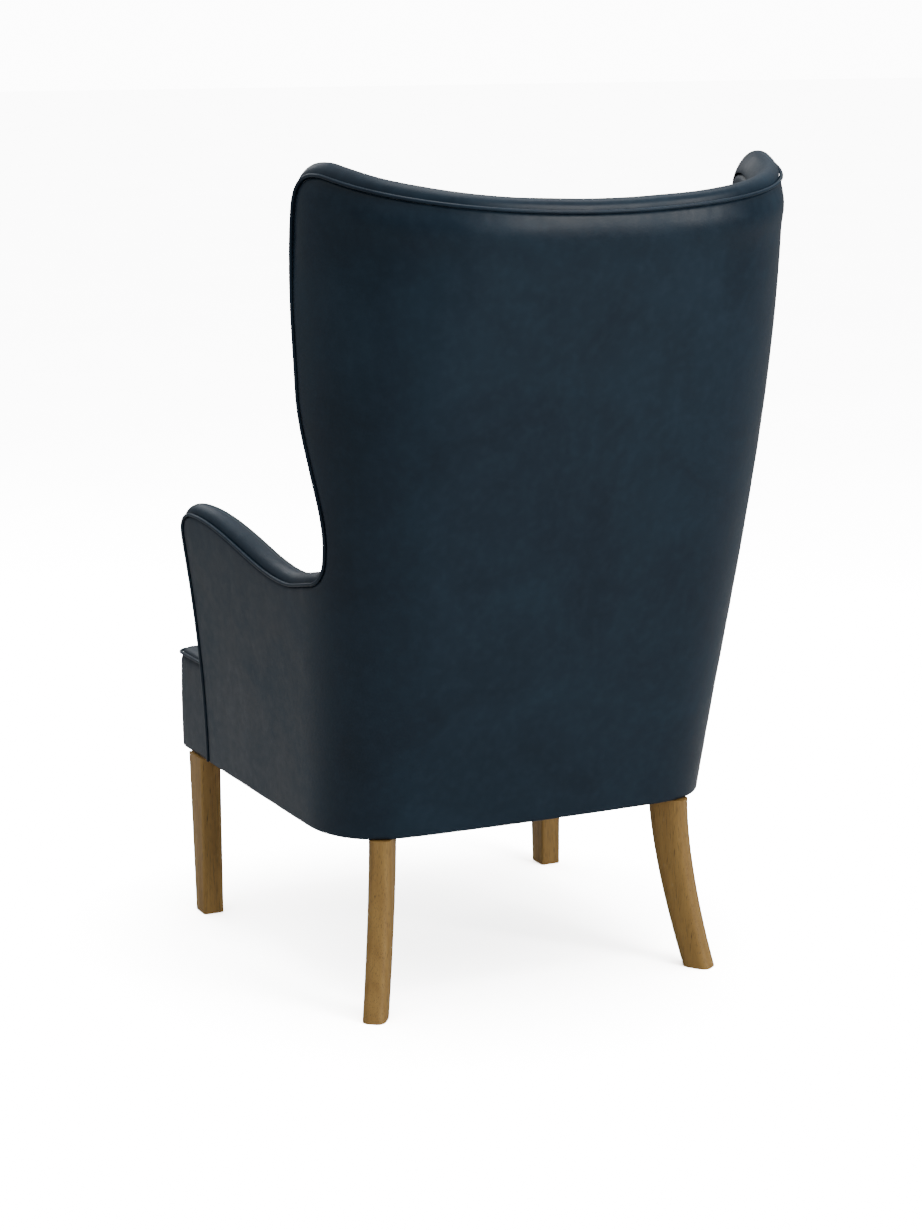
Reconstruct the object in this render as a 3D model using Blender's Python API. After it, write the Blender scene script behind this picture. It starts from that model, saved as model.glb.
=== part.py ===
"""High-back wing chair: timber carcass on four oak legs, sprung seat, leather covers."""
import bpy
import bmesh
from math import sin, cos, pi, radians, hypot
from mathutils import Vector

# ---------------------------------------------------------------- driving sizes, metres
RIM_Z = 0.234            # underside of the upholstered shell, level all round
ARM_LOW_Z = 0.563        # arm seam at its lowest, just ahead of the wing
ARM_TIP_Z = 0.612        # arm seam at its front end
PEAK_Z = 1.089           # top seam at the two wing peaks
CENTRE_DIP = 0.043       # the top seam is this much lower on the centre line

BACK_RIM_Y = 0.206       # outer back on the centre line, at the rim
BACK_TOP_Y = 0.402       # and at the height of the peaks: the back rakes
BACK_SWELL = 0.010       # how far the raked back bows out halfway up
HALF_RIM = 0.293         # half width of the shell at the rim
HALF_TOP = 0.327         # half width at the peaks
SHOULDER = 0.0175        # extra half width at the shoulders
TURN_RIM = 0.203         # length of cover that turns the rear corner at the rim
TURN_TOP = 0.340         # and at the peaks
SIDE_RIM_DEG = 89.5      # heading of the sides at the rim, from straight across
SIDE_TOP_DEG = 79.8      # and at the peaks: the wings open out
BOW_RIM = 0.217          # bend across the back, radians per metre, at the rim
BOW_TOP = 0.606

ARM_FOOT_S = 0.711       # girth from the centre back to the front of the arm, at the rim
ARM_RAKE = 0.050         # how far the front of the arm leans forward at the tip
ARM_LOW_S = 0.440        # girth to the lowest point of the arm seam
NECK_S = 0.343           # girth to the hollow between arm and wing
WING_S = 0.449           # girth to the front edge of the wing
PEAK_S = 0.395           # girth to the peak
SEAM_S = 0.194           # girth to the seam between inside back and inside wing

WING_BAND = 0.045        # width of the facing along wings and top
ARM_BAND = 0.057         # width of the facing along the arms
BAND_DOME = 0.0145       # height of the facing over the outer seam
BAND_APEX = 0.40         # where across the facing it is highest
BAND_DROP = 0.014        # the inner seam lies this much lower than the outer one
BACK_PAD = 0.038         # extra stuffing over the middle of the inside back
SIDE_PAD = 0.011         # extra stuffing over wings and arms

LEATHER = 0.0018
BOARD = 0.024            # thickness of the carcass timber
RAIL_H = 0.070           # height of the seat rails
WELT_R = 0.0024
WELT_DEPTH = 0.0012      # the welt stands half proud of the leather
CLEAR = 0.0003           # fitting gap in the timber joints

SEAT_FRONT_Y = -0.386    # front face of the seat
SEAT_EDGE_Z = 0.380      # welt round the top of the seat
SEAT_CROWN = 0.020
SEAT_BORDER_R = 0.022    # corner radius of the seat in plan

FRONT_LEG_X = 0.031      # width of a front leg
FRONT_LEG_TOP = 0.052    # depth at the shoulder
FRONT_LEG_FOOT = 0.035   # depth at the floor
FRONT_LEG_BACK_Y = -0.289
FRONT_LEG_PROUD = 0.002  # the leg stands a little outside the leather
REAR_LEG_S = 0.221       # girth at which the rear leg stands
REAR_LEG_IN = 0.021      # depth of its middle under the outer face
REAR_LEG_DEG = 36.5      # heading of the leg's plane, from straight back
REAR_LEG_TOP = 0.053     # depth at the shoulder
REAR_LEG_FOOT = 0.041
REAR_LEG_W = 0.032
REAR_LEG_SPLAY = 0.0495  # how far the foot kicks out
SPIGOT_R = 0.012
SPIGOT_H = 0.042

SPRING_COUNT = 5          # zigzag springs that run from the rear rail to the front rail
SPRING_PITCH = 0.084
SPRING_SWING = 0.022
SPRING_STEP = 0.034
SPRING_ARCH = 0.014
WIRE_R = 0.0018
STRAP_W = 0.050
STRAP_T = 0.0016

# ---------------------------------------------------------------- dependent sizes
RAIL_Z0 = RIM_Z + 0.0004
RAIL_Z1 = RAIL_Z0 + RAIL_H
BOARD_D0 = LEATHER + 0.0012          # depths are measured in from the outer face of the leather
BOARD_D1 = BOARD_D0 + BOARD
PAD_D0 = BOARD_D1 + STRAP_T + 0.0014
PAD_Z0 = RAIL_Z1 + 2 * WIRE_R + 0.0038
EDGE = 0.375 * BOARD                 # timber stands back this far from the seams
CENTRE_Z = PEAK_Z - CENTRE_DIP
ARM_S = ARM_FOOT_S + ARM_RAKE
FRONT_RAIL_Y1 = SEAT_FRONT_Y + 0.046
FRONT_RAIL_Y0 = FRONT_RAIL_Y1 - BOARD

COLOURS = {
    "leather": ((0.016, 0.026, 0.042), 0.35, 0.0),
    "oak": ((0.42, 0.27, 0.11), 0.45, 0.0),
    "beech": ((0.55, 0.40, 0.24), 0.6, 0.0),
    "padding": ((0.72, 0.68, 0.58), 0.95, 0.0),
    "webbing": ((0.38, 0.29, 0.17), 0.9, 0.0),
    "hessian": ((0.46, 0.36, 0.22), 0.95, 0.0),
    "spring_wire": ((0.40, 0.37, 0.34), 0.35, 1.0),
    "cambric": ((0.02, 0.02, 0.022), 0.9, 0.0),
}

for old in list(bpy.data.objects):
    bpy.data.objects.remove(old)


# ---------------------------------------------------------------- the shell as a bent sheet
def ease(t):
    t = min(max(t, 0.0), 1.0)
    return t * t * (3 - 2 * t)


def rise(z):
    return (z - RIM_Z) / (PEAK_Z - RIM_Z)


def heading(s, z):
    r = rise(z)
    half = HALF_RIM + (HALF_TOP - HALF_RIM) * r + SHOULDER * 6.75 * r * r * (1 - r)
    turn = TURN_RIM + (TURN_TOP - TURN_RIM) * r
    side = radians(SIDE_RIM_DEG + (SIDE_TOP_DEG - SIDE_RIM_DEG) * r)
    bow = BOW_RIM + (BOW_TOP - BOW_RIM) * r
    start = half - 0.637 * turn
    k = ease((s - start) / turn)
    return bow * min(s, start + turn) * (1 - k) + side * k


def plan_point(s, z):
    """Outer face of the shell at girth s and height z, and its inward direction."""
    r = rise(z)
    x, y = 0.0, BACK_RIM_Y + (BACK_TOP_Y - BACK_RIM_Y) * r + 4 * BACK_SWELL * r * (1 - r)
    steps = max(1, int(abs(s) / 0.006))
    ds = abs(s) / steps
    for i in range(steps):
        h = heading((i + 0.5) * ds, z)
        x += cos(h) * ds
        y -= sin(h) * ds
    h = heading(abs(s), z)
    side = -1 if s < 0 else 1
    return Vector((side * x, y, z)), Vector((-side * sin(h), -cos(h), 0))


def front_s(z):
    return ARM_FOOT_S + ARM_RAKE * ((z - RIM_Z) / (ARM_TIP_Z - RIM_Z)) ** 2


def arm_z(s):
    if s > ARM_LOW_S:
        return ARM_LOW_Z + (ARM_TIP_Z - ARM_LOW_Z) * ease((s - ARM_LOW_S) / (ARM_S - 0.045 - ARM_LOW_S))
    return ARM_LOW_Z + 0.014 * ease((ARM_LOW_S - s) / (ARM_LOW_S - NECK_S))


NECK_Z = arm_z(NECK_S)
WING_H = PEAK_Z - NECK_Z


def wing_s(z):
    t = (z - NECK_Z) / WING_H
    flare = 0.60 * ease((t - 0.08) / 0.40) + 0.40 * ease((t - 0.30) / 0.62)
    return NECK_S + (WING_S - NECK_S) * flare


def top_z(s):
    t = min(abs(s) / PEAK_S, 1.0)
    return PEAK_Z - (PEAK_Z - CENTRE_Z) * (1 - t * t) ** 1.08


def sample(fn, a, b, n):
    return [fn(a + (b - a) * i / n) for i in range(n + 1)]


def trim(path, dist):
    """Shorten a path at its end, and give the last kept point."""
    pts = list(path)
    while len(pts) > 1:
        (ax, ay), (bx, by) = pts[-2], pts[-1]
        length = hypot(bx - ax, by - ay)
        if length > dist:
            k = 1 - dist / length
            pts[-1] = (ax + (bx - ax) * k, ay + (by - ay) * k)
            return pts
        dist -= length
        pts.pop()
    return pts


def blend(first, second, reach, n=4):
    """Join two paths that meet at a corner with a rounded turn."""
    corner = first[-1]
    a = trim(first, reach)
    b = trim(second[::-1], reach)[::-1]
    p, q = a[-1], b[0]
    turn = []
    for i in range(1, n):
        t = i / n
        turn.append(tuple((1 - t) ** 2 * p[k] + 2 * t * (1 - t) * corner[k] + t * t * q[k] for k in (0, 1)))
    return a + turn, b


arm_front = sample(lambda z: (front_s(z), z), RIM_Z, ARM_TIP_Z, 4)
arm_top = sample(lambda s: (s, arm_z(s)), ARM_S, NECK_S, 7)
wing_edge = sample(lambda z: (wing_s(z), z), NECK_Z, PEAK_Z, 8)
top_edge = sample(lambda s: (s, top_z(s)), WING_S, 0.0, 7)
arm_front, arm_top = blend(arm_front, arm_top, 0.046)
arm_top, wing_edge = blend(arm_top, wing_edge, 0.034)
wing_edge, top_edge = blend(wing_edge, top_edge, 0.042)
ARM_PATH = arm_front + arm_top + wing_edge[:1]
WING_PATH = wing_edge + top_edge
HALF_PATH = ARM_PATH + WING_PATH[1:]
SPLIT_Z = WING_PATH[0][1]


def normals(path):
    """Outward direction at each point, for a path that runs from the arm's foot to the top."""
    out = []
    for i in range(len(path)):
        (ax, ay), (bx, by) = path[max(i - 1, 0)], path[min(i + 1, len(path) - 1)]
        length = hypot(bx - ax, by - ay)
        out.append(((by - ay) / length, -(bx - ax) / length))
    return out


def grown(path, amount, nrm=None):
    nrm = nrm or normals(path)
    return [(s + n[0] * amount, z + n[1] * amount) for (s, z), n in zip(path, nrm)]


HALF_NORMALS = normals(HALF_PATH)
HALF_NORMALS[0] = (1.0, 0.0)
HALF_NORMALS[-1] = (0.0, 1.0)


def inset_half(amount):
    return grown(HALF_PATH, -amount, HALF_NORMALS)


def edge_distance(s, z):
    """How far a point of the pattern lies inside the seam line; 0 outside it."""
    best = 9.0
    inside = False
    for (ax, ay), (bx, by) in zip(HALF_PATH, HALF_PATH[1:]):
        ex, ey = bx - ax, by - ay
        t = min(max(((s - ax) * ex + (z - ay) * ey) / (ex * ex + ey * ey), 0), 1)
        best = min(best, hypot(s - ax - t * ex, z - ay - t * ey))
        if (ax > s) != (bx > s):
            zc = ay + (s - ax) * ey / ex
            if zc > z:
                inside = not inside
    return best if inside else 0.0


def inner_depth(s, z):
    """Depth of the inner leather face below the outer one."""
    arm = ease((s - 0.20) / 0.12) * ease((SPLIT_Z + 0.06 - z) / 0.08)
    edge = WING_BAND + (ARM_BAND - WING_BAND) * arm
    pad = SIDE_PAD + (BACK_PAD - SIDE_PAD) * ease((SEAM_S + 0.05 - s) / 0.14)
    return edge + pad * ease(edge_distance(s, z) / 0.075)


S_HALF = [0.0, 0.100, SEAM_S, 0.235, 0.275, 0.315, 0.355, 0.400, 0.450, 0.600, 0.900]
S_LINES = [-s for s in S_HALF[:0:-1]] + S_HALF
Z_LINES = [RIM_Z - 0.02] + [RIM_Z + (SPLIT_Z - RIM_Z) * f for f in (0.36, 0.70, 1.0)]
Z_LINES += [SPLIT_Z + (PEAK_Z - SPLIT_Z) * f for f in (0.24, 0.54, 0.82, 1.10)]

GRID = [[plan_point(s, z) + (inner_depth(abs(s), z),) for z in Z_LINES] for s in S_LINES]


def cell(value, lines):
    for i in range(len(lines) - 2, 0, -1):
        if value >= lines[i]:
            return i, (value - lines[i]) / (lines[i + 1] - lines[i])
    return 0, (value - lines[0]) / (lines[1] - lines[0])


def corners(s, z):
    i, u = cell(s, S_LINES)
    j, v = cell(z, Z_LINES)
    return ((GRID[i][j], (1 - u) * (1 - v)), (GRID[i + 1][j], u * (1 - v)),
            (GRID[i][j + 1], (1 - u) * v), (GRID[i + 1][j + 1], u * v))


def shell(s, z, depth):
    """Bend the pattern point (s, z) round the shell, at a depth under the outer face."""
    point = Vector((0, 0, 0))
    for (p, n, _), w in corners(s, z):
        point += (p + n * depth) * w
    return point


def inner(s, z):
    return sum(c[0][2] * c[1] for c in corners(s, z))


# ---------------------------------------------------------------- building
def material(slot):
    mat = bpy.data.materials.get(slot)
    if mat is None:
        colour, rough, metal = COLOURS[slot]
        mat = bpy.data.materials.new(slot)
        mat.use_nodes = True
        node = mat.node_tree.nodes["Principled BSDF"]
        node.inputs["Base Color"].default_value = (*colour, 1)
        node.inputs["Roughness"].default_value = rough
        node.inputs["Metallic"].default_value = metal
        mat.diffuse_color = (*colour, 1)
    return mat


def add(name, verts, faces, slot):
    """Make a closed body with its faces outward."""
    bm = bmesh.new()
    made = [bm.verts.new(v) for v in verts]
    for face in faces:
        bm.faces.new([made[i] for i in face])
    bmesh.ops.recalc_face_normals(bm, faces=bm.faces)
    bmesh.ops.triangulate(bm, faces=[f for f in bm.faces if len(f.verts) > 4])
    if bm.calc_volume(signed=True) < 0:
        bmesh.ops.reverse_faces(bm, faces=bm.faces)
    mesh = bpy.data.meshes.new(name)
    bm.to_mesh(mesh)
    bm.free()
    mesh.materials.append(material(slot))
    obj = bpy.data.objects.new(name, mesh)
    bpy.context.scene.collection.objects.link(obj)
    return obj


def loft(name, rings, slot, closed=False):
    """Skin a row of equal rings; the ends are capped unless the row closes on itself."""
    n = len(rings[0])
    verts = [v for ring in rings for v in ring]
    faces = []
    count = len(rings)
    for k in range(count if closed else count - 1):
        a, b = k * n, ((k + 1) % count) * n
        for i in range(n):
            j = (i + 1) % n
            faces.append((a + i, a + j, b + j, b + i))
    if not closed:
        faces.append(tuple(range(n)))
        faces.append(tuple(range((count - 1) * n, count * n)))
    return add(name, verts, faces, slot)


def panel(name, outline, near, far, slot):
    """A flat pattern, cut along the shared bend lines, given thickness and bent round the shell."""
    bm = bmesh.new()
    bm.faces.new([bm.verts.new((s, z, 0)) for s, z in outline])
    bmesh.ops.triangulate(bm, faces=bm.faces)
    for axis, lines in ((0, S_LINES), (1, Z_LINES)):
        for value in lines:
            place, way = [0, 0, 0], [0, 0, 0]
            place[axis], way[axis] = value, 1
            geom = bm.verts[:] + bm.edges[:] + bm.faces[:]
            bmesh.ops.bisect_plane(bm, geom=geom, dist=1e-6, plane_co=place, plane_no=way)
    bends = [[v.co[axis] for v in e.verts] for e in bm.edges for axis in (0, 1)]
    loose = []
    for i, e in enumerate(bm.edges):
        on_line = any(abs(a - b) < 1e-5 and any(abs(a - v) < 1e-5 for v in lines)
                      for (a, b), lines in zip(bends[2 * i:2 * i + 2], (S_LINES, Z_LINES)))
        if len(e.link_faces) == 2 and not on_line:
            loose.append(e)
    bmesh.ops.dissolve_edges(bm, edges=loose, use_verts=False)
    spare = []
    for v in bm.verts:
        if len(v.link_edges) == 2:
            a, b = (e.other_vert(v).co - v.co for e in v.link_edges)
            if a.normalized().dot(b.normalized()) < -0.999999:
                spare.append(v)
    bmesh.ops.dissolve_verts(bm, verts=spare)
    for f in list(bm.faces):
        if len(f.verts) == 4 and all(abs((e.verts[0].co - e.verts[1].co).x) < 1e-6
                                     or abs((e.verts[0].co - e.verts[1].co).y) < 1e-6 for e in f.edges):
            ring = sorted(f.verts, key=lambda v: (round(abs(v.co.x), 5), round(v.co.y, 5)))
            bmesh.utils.face_split(f, ring[0], ring[3])
    bmesh.ops.triangulate(bm, faces=[f for f in bm.faces if len(f.verts) > 3])
    bm.verts.index_update()
    flat = [(v.co.x, v.co.y) for v in bm.verts]
    tris = [tuple(v.index for v in f.verts) for f in bm.faces]
    rim = [tuple(v.index for v in e.verts) for e in bm.edges if len(e.link_faces) == 1]
    bm.free()
    n = len(flat)
    verts = [shell(s, z, near(s, z)) for s, z in flat] + [shell(s, z, far(s, z)) for s, z in flat]
    faces = tris + [tuple(i + n for i in t[::-1]) for t in tris]
    faces += [(a, b, b + n, a + n) for a, b in rim]
    return add(name, verts, faces, slot)


def board(name, outline, lean=lambda s, z: 0.0):
    """Carcass timber; lean moves it in from the shell where it has to stand plumb."""
    return panel(name, outline, lambda s, z: BOARD_D0 + lean(s, z), lambda s, z: BOARD_D1 + lean(s, z), "beech")


def cells(name, boxes, holes, slot, place=None, extra=()):
    """Join boxes and take holes out of them; place bends the result, extra gives more cut lines."""
    cuts = []
    for axis in range(3):
        lo = min(b[axis][0] for b in boxes)
        hi = max(b[axis][1] for b in boxes)
        vals = {v for b in list(boxes) + list(holes) for v in b[axis] if lo <= v <= hi}
        if axis < len(extra):
            vals |= {v for v in extra[axis] if lo < v < hi}
        vals = sorted(vals)
        cuts.append([v for i, v in enumerate(vals) if i == 0 or v - vals[i - 1] > 1e-6])

    def full(index):
        if any(i < 0 or i >= len(c) - 1 for i, c in zip(index, cuts)):
            return False
        mid = [(c[i] + c[i + 1]) / 2 for i, c in zip(index, cuts)]

        def holds(box):
            return all(a < m < b for m, (a, b) in zip(mid, box))
        return any(holds(b) for b in boxes) and not any(holds(h) for h in holes)

    verts, index, faces = [], {}, []

    def vert(key):
        if key not in index:
            index[key] = len(verts)
            point = [c[i] for i, c in zip(key, cuts)]
            verts.append(place(*point) if place else Vector(point))
        return index[key]

    ranges = [range(len(c) - 1) for c in cuts]
    for i in ranges[0]:
        for j in ranges[1]:
            for k in ranges[2]:
                if not full((i, j, k)):
                    continue
                for axis in range(3):
                    for side in (0, 1):
                        step = [i, j, k]
                        step[axis] += 1 if side else -1
                        if full(step):
                            continue
                        a, b = [x for x in range(3) if x != axis]
                        quad = []
                        for da, db in ((0, 0), (1, 0), (1, 1), (0, 1)):
                            key = [i, j, k]
                            key[axis] += side
                            key[a] += da
                            key[b] += db
                            quad.append(vert(tuple(key)))
                        faces.append(tuple(quad))
    return add(name, verts, faces, slot)


def cut(obj, cutter):
    """Take one body out of another for good, and remove the cutter."""
    mod = obj.modifiers.new("cut", "BOOLEAN")
    mod.operation, mod.solver, mod.object = "DIFFERENCE", "EXACT", cutter
    bpy.context.view_layer.update()
    mesh = bpy.data.meshes.new_from_object(obj.evaluated_get(bpy.context.evaluated_depsgraph_get()))
    obj.modifiers.clear()
    obj.data = mesh
    bpy.data.objects.remove(cutter)


def tube(name, path, radius, slot, sides=6, closed=False):
    rings = []
    n = len(path)
    side = None
    for i, p in enumerate(path):
        ahead = path[(i + 1) % n] if closed else path[min(i + 1, n - 1)]
        behind = path[i - 1] if closed or i else p
        along = (ahead - behind).normalized()
        if side is None:
            side = along.orthogonal().normalized()
        side = (side - along * side.dot(along)).normalized()
        up = along.cross(side)
        rings.append([p + (side * cos(2 * pi * k / sides) + up * sin(2 * pi * k / sides)) * radius
                      for k in range(sides)])
    return loft(name, rings, slot, closed)


def mirrored(outline):
    return [(-s, z) for s, z in outline[::-1]]


def both(name, outline, near, far, slot):
    panel(name + "_left", outline, near, far, slot)
    panel(name + "_right", mirrored(outline), near, far, slot)


def line_at(path, index, value):
    """The point where a path crosses a girth (index 0) or a height (index 1)."""
    for a, b in zip(path, path[1:]):
        if (a[index] - value) * (b[index] - value) <= 0 and a[index] != b[index]:
            t = (value - a[index]) / (b[index] - a[index])
            return tuple(a[k] + (b[k] - a[k]) * t for k in (0, 1))
    return path[-1]


def between(path, lo, hi):
    """The stretch of a top path whose girth runs from hi down to lo, ends included."""
    inside = [p for p in path if lo < p[0] < hi]
    return [line_at(path, 0, hi)] + inside + [line_at(path, 0, lo)]


# ---------------------------------------------------------------- outside cover
def cover_near(s, z):
    return 0.0


def cover_far(s, z):
    return LEATHER


seam = inset_half(WELT_R + 0.0003)
seam[0] = (seam[0][0], RIM_Z)
panel("outside_cover", [(-s, z) for s, z in seam] + seam[-2::-1], cover_near, cover_far, "leather")


# ---------------------------------------------------------------- pads and inside covers
def pad_near(s, z):
    return PAD_D0


def pad_far(s, z):
    return inner(s, z) - LEATHER - 0.0005


def lining_near(s, z):
    return inner(s, z) - LEATHER


PARTING = 0.0004
tops = inset_half(BAND_DROP + 0.0006)
arm_line = tops[:len(ARM_PATH)]
wing_line = tops[len(ARM_PATH) - 1:]
crown_line = between(wing_line[len(wing_edge) - 2:], SEAM_S + PARTING, 0.42)
back_line = between(wing_line[len(wing_edge) - 2:], 0.0, SEAM_S - PARTING)
wing_outer = [p for p in wing_line if p not in crown_line and p[0] > SEAM_S + PARTING]
arm_line = [(front_s(PAD_Z0) - BAND_DROP - 0.0006, PAD_Z0)] + [p for p in arm_line if p[1] > PAD_Z0 + 0.004]
arm_line[-1] = (arm_line[-1][0], SPLIT_Z - PARTING)
wing_outer[0] = (wing_outer[0][0], SPLIT_Z + PARTING)

back_shape = [(-s, z) for s, z in back_line] + back_line[-2::-1]
back_shape += [(SEAM_S - PARTING, PAD_Z0), (-SEAM_S + PARTING, PAD_Z0)]
arm_shape = [(SEAM_S + PARTING, PAD_Z0)] + arm_line + [(SEAM_S + PARTING, SPLIT_Z - PARTING)]
wing_shape = [(SEAM_S + PARTING, SPLIT_Z + PARTING)] + wing_outer + crown_line

panel("back_padding", back_shape, pad_near, pad_far, "padding")
panel("inside_back_cover", back_shape, lining_near, inner, "leather")
both("arm_padding", arm_shape, pad_near, pad_far, "padding")
both("inside_arm_cover", arm_shape, lining_near, inner, "leather")
both("wing_padding", wing_shape, pad_near, pad_far, "padding")
both("inside_wing_cover", wing_shape, lining_near, inner, "leather")

# ---------------------------------------------------------------- facings and welt
BAND_STEPS = 4


def facing(path, nrm, sign):
    """A padded strip, domed across, that closes the edge between outside and inside covers."""
    start = 2 * WELT_R + 0.0004
    rings = []
    for (s, z), (ns, nz) in zip(path, nrm):
        wide = inner(sign * s, z) - 0.0006
        ring = [(0.0004, start), (0.0004 - BAND_DROP, wide)]
        for k in range(BAND_STEPS):
            f = 1 - (k + 0.15) / (BAND_STEPS - 0.7)
            f = min(max(f, 0.02), 0.985)
            hump = sin(pi * f ** (1 / (1 + 2 * (0.5 - BAND_APEX)))) ** 0.75
            ring.append((0.0012 + (BAND_DOME + 0.4 * BAND_DROP) * hump - BAND_DROP * f, start + (wide - start) * f))
        rings.append([shell(sign * (s + ns * h), z + nz * h, d) for h, d in ring])
    return rings


def arm_run():
    low = RAIL_Z1 + 0.0008
    path = [(front_s(low), low)] + [p for p in ARM_PATH[:-1] if p[1] > low + 0.01]
    path.append((ARM_PATH[-1][0], SPLIT_Z - 0.0004))
    return path, [(1.0, 0.0)] + HALF_NORMALS[len(ARM_PATH) - len(path) + 1:len(ARM_PATH) - 1] + [(1.0, 0.0)]


def wing_run():
    path = [(WING_PATH[0][0], SPLIT_Z + 0.0004)] + WING_PATH[1:]
    return path, [(1.0, 0.0)] + HALF_NORMALS[len(ARM_PATH):]


path, nrm = arm_run()
loft("arm_facing_left", facing(path, nrm, 1), "leather")
loft("arm_facing_right", facing(path, nrm, -1), "leather")
path, nrm = wing_run()
right_side = facing(path, nrm, -1)
left_side = facing(path, nrm, 1)
loft("top_facing", left_side + right_side[-2::-1], "leather")

welt = grown(HALF_PATH, 0.0004, HALF_NORMALS)
welt[0] = (welt[0][0], RIM_Z + 0.001)
welt.insert(1, (front_s(RAIL_Z1) + 0.0004, RAIL_Z1 + 0.004))
welt = [(s, z, WELT_DEPTH if z > RAIL_Z1 + 0.01 else -0.0002) for s, z in welt]
line = [shell(s, z, d) for s, z, d in welt] + [shell(-s, z, d) for s, z, d in welt[-2::-1]]
tube("shell_welt", line, WELT_R, "leather", 5)


# ---------------------------------------------------------------- carcass of the shell
def slotted(fn, points, slots=()):
    """Points along a curved edge, with square slots (girth from, to, and their floor or tip)."""
    out = [(s, fn(s)) for s in points if not any(a - 0.002 < s < b + 0.002 for a, b, _ in slots)]
    for a, b, z in slots:
        out += [(a, fn(a)), (a, z), (b, z), (b, fn(b))]
    order = {}
    for a, b, z in slots:
        order[a, fn(a)], order[a, z], order[b, z], order[b, fn(b)] = a, a + 1e-5, b - 1e-5, b
    return sorted(out, key=lambda p: order.get(p, p[0]))


TENON = 0.013                        # length of every tongue
POST_S0, POST_S1 = SEAM_S + 0.003, SEAM_S + 0.035
POST_TOP = top_z(POST_S0) - EDGE
LOW_RAIL = (RIM_Z + 0.170, RIM_Z + 0.214)
CREST_DROP = 0.052
WING_RAIL_Z = PEAK_Z - 0.056
ARM_RAIL_H = 0.034


def arm_rail_top(s):
    """The rail's nose is rounded down under the turn of the facing."""
    nose = max(s - (ARM_S - 0.075), 0)
    return arm_z(s) - EDGE - 3.0 * nose * nose


def arm_rail_low(s):
    return arm_z(s) - EDGE - ARM_RAIL_H


def crest_low(s):
    return top_z(s) - CREST_DROP


def stretch(a, b, n):
    return [a + (b - a) * i / n for i in range(n + 1)]


# Tongues: low rail, crest rail and arm rail into the posts, all as (height from, to).
low_tongue = (LOW_RAIL[0] + 0.010, LOW_RAIL[1] - 0.010)
crest_tongue = (crest_low(POST_S0) + 0.010, crest_low(POST_S0) + 0.034)
arm_tongue = (arm_rail_low(POST_S1) + 0.008, arm_rail_top(POST_S1) - 0.008)
wing_tongue = (WING_RAIL_Z - 0.014, WING_RAIL_Z + 0.006)

post = [(POST_S0, RAIL_Z1 + CLEAR), (POST_S0 + 0.011, RAIL_Z1 + CLEAR),
        (POST_S0 + 0.011, RAIL_Z1 - TENON), (POST_S1 - 0.009, RAIL_Z1 - TENON),
        (POST_S1 - 0.009, RAIL_Z1 + CLEAR), (POST_S1, RAIL_Z1 + CLEAR)]
for lo, hi in (arm_tongue, wing_tongue):
    post += [(POST_S1, lo - CLEAR), (POST_S1 - TENON - CLEAR, lo - CLEAR),
             (POST_S1 - TENON - CLEAR, hi + CLEAR), (POST_S1, hi + CLEAR)]
post += [(POST_S1, top_z(POST_S1) - EDGE), (POST_S0, POST_TOP)]
for lo, hi in (crest_tongue, low_tongue):
    post += [(POST_S0, hi + CLEAR), (POST_S0 + TENON + CLEAR, hi + CLEAR),
             (POST_S0 + TENON + CLEAR, lo - CLEAR), (POST_S0, lo - CLEAR)]
board("back_post_left", post)
board("back_post_right", mirrored(post))


def cross_rail(upper, lower, tongue, reach, n):
    """A rail across the back with a tongue at each end."""
    half = reach - CLEAR
    top = [(s, upper(s)) for s in stretch(-half, half, n)]
    low = [(s, lower(s)) for s in stretch(half, -half, n)]
    right_end = [(half, tongue[1]), (half + TENON, tongue[1]), (half + TENON, tongue[0]), (half, tongue[0])]
    left_end = [(-s, z) for s, z in right_end[::-1]]
    return top + right_end + low + left_end


board("lower_back_rail", cross_rail(lambda s: LOW_RAIL[1], lambda s: LOW_RAIL[0], low_tongue, POST_S0, 1))
board("crest_rail", cross_rail(lambda s: top_z(s) - EDGE, crest_low, crest_tongue, POST_S0, 6))
rear_tongue = (RAIL_Z0 + 0.020, RAIL_Z0 + 0.050)
board("seat_rail_rear", cross_rail(lambda s: RAIL_Z1, lambda s: RAIL_Z0, rear_tongue, SEAM_S, 1))

# Arm rail: tongue into the back post, slots for the wing post above and the arm post below.
WING_POST = (wing_s(NECK_Z + 0.03) - 0.038, wing_s(NECK_Z + 0.03) - EDGE)
ARM_POST = (-0.044, -0.012)          # from the front edge of the arm
post_top_s = front_s(ARM_TIP_Z - EDGE - ARM_RAIL_H)
post_foot_s = front_s(RAIL_Z1)
wing_slot = (WING_POST[0] + 0.008, WING_POST[1] - 0.008)
arm_slot = (post_top_s + ARM_POST[0] + 0.008, post_top_s + ARM_POST[1] - 0.008)
foot_slot = (post_foot_s + ARM_POST[0] + 0.008, post_foot_s + ARM_POST[1] - 0.008)
tip = post_top_s + ARM_POST[1] - 0.003
start = POST_S1 + CLEAR
upper = slotted(arm_rail_top, stretch(start, tip, 8),
                [(wing_slot[0] - CLEAR, wing_slot[1] + CLEAR, arm_rail_top(wing_slot[0]) - TENON - CLEAR)])
lower = slotted(arm_rail_low, stretch(start, tip, 8),
                [(arm_slot[0] - CLEAR, arm_slot[1] + CLEAR, arm_rail_low(arm_slot[0]) + TENON + CLEAR)])
rail = upper + lower[::-1] + [(start, arm_tongue[0]), (start - TENON, arm_tongue[0]),
                              (start - TENON, arm_tongue[1]), (start, arm_tongue[1])]
board("arm_rail_left", rail)
board("arm_rail_right", mirrored(rail))

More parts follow.
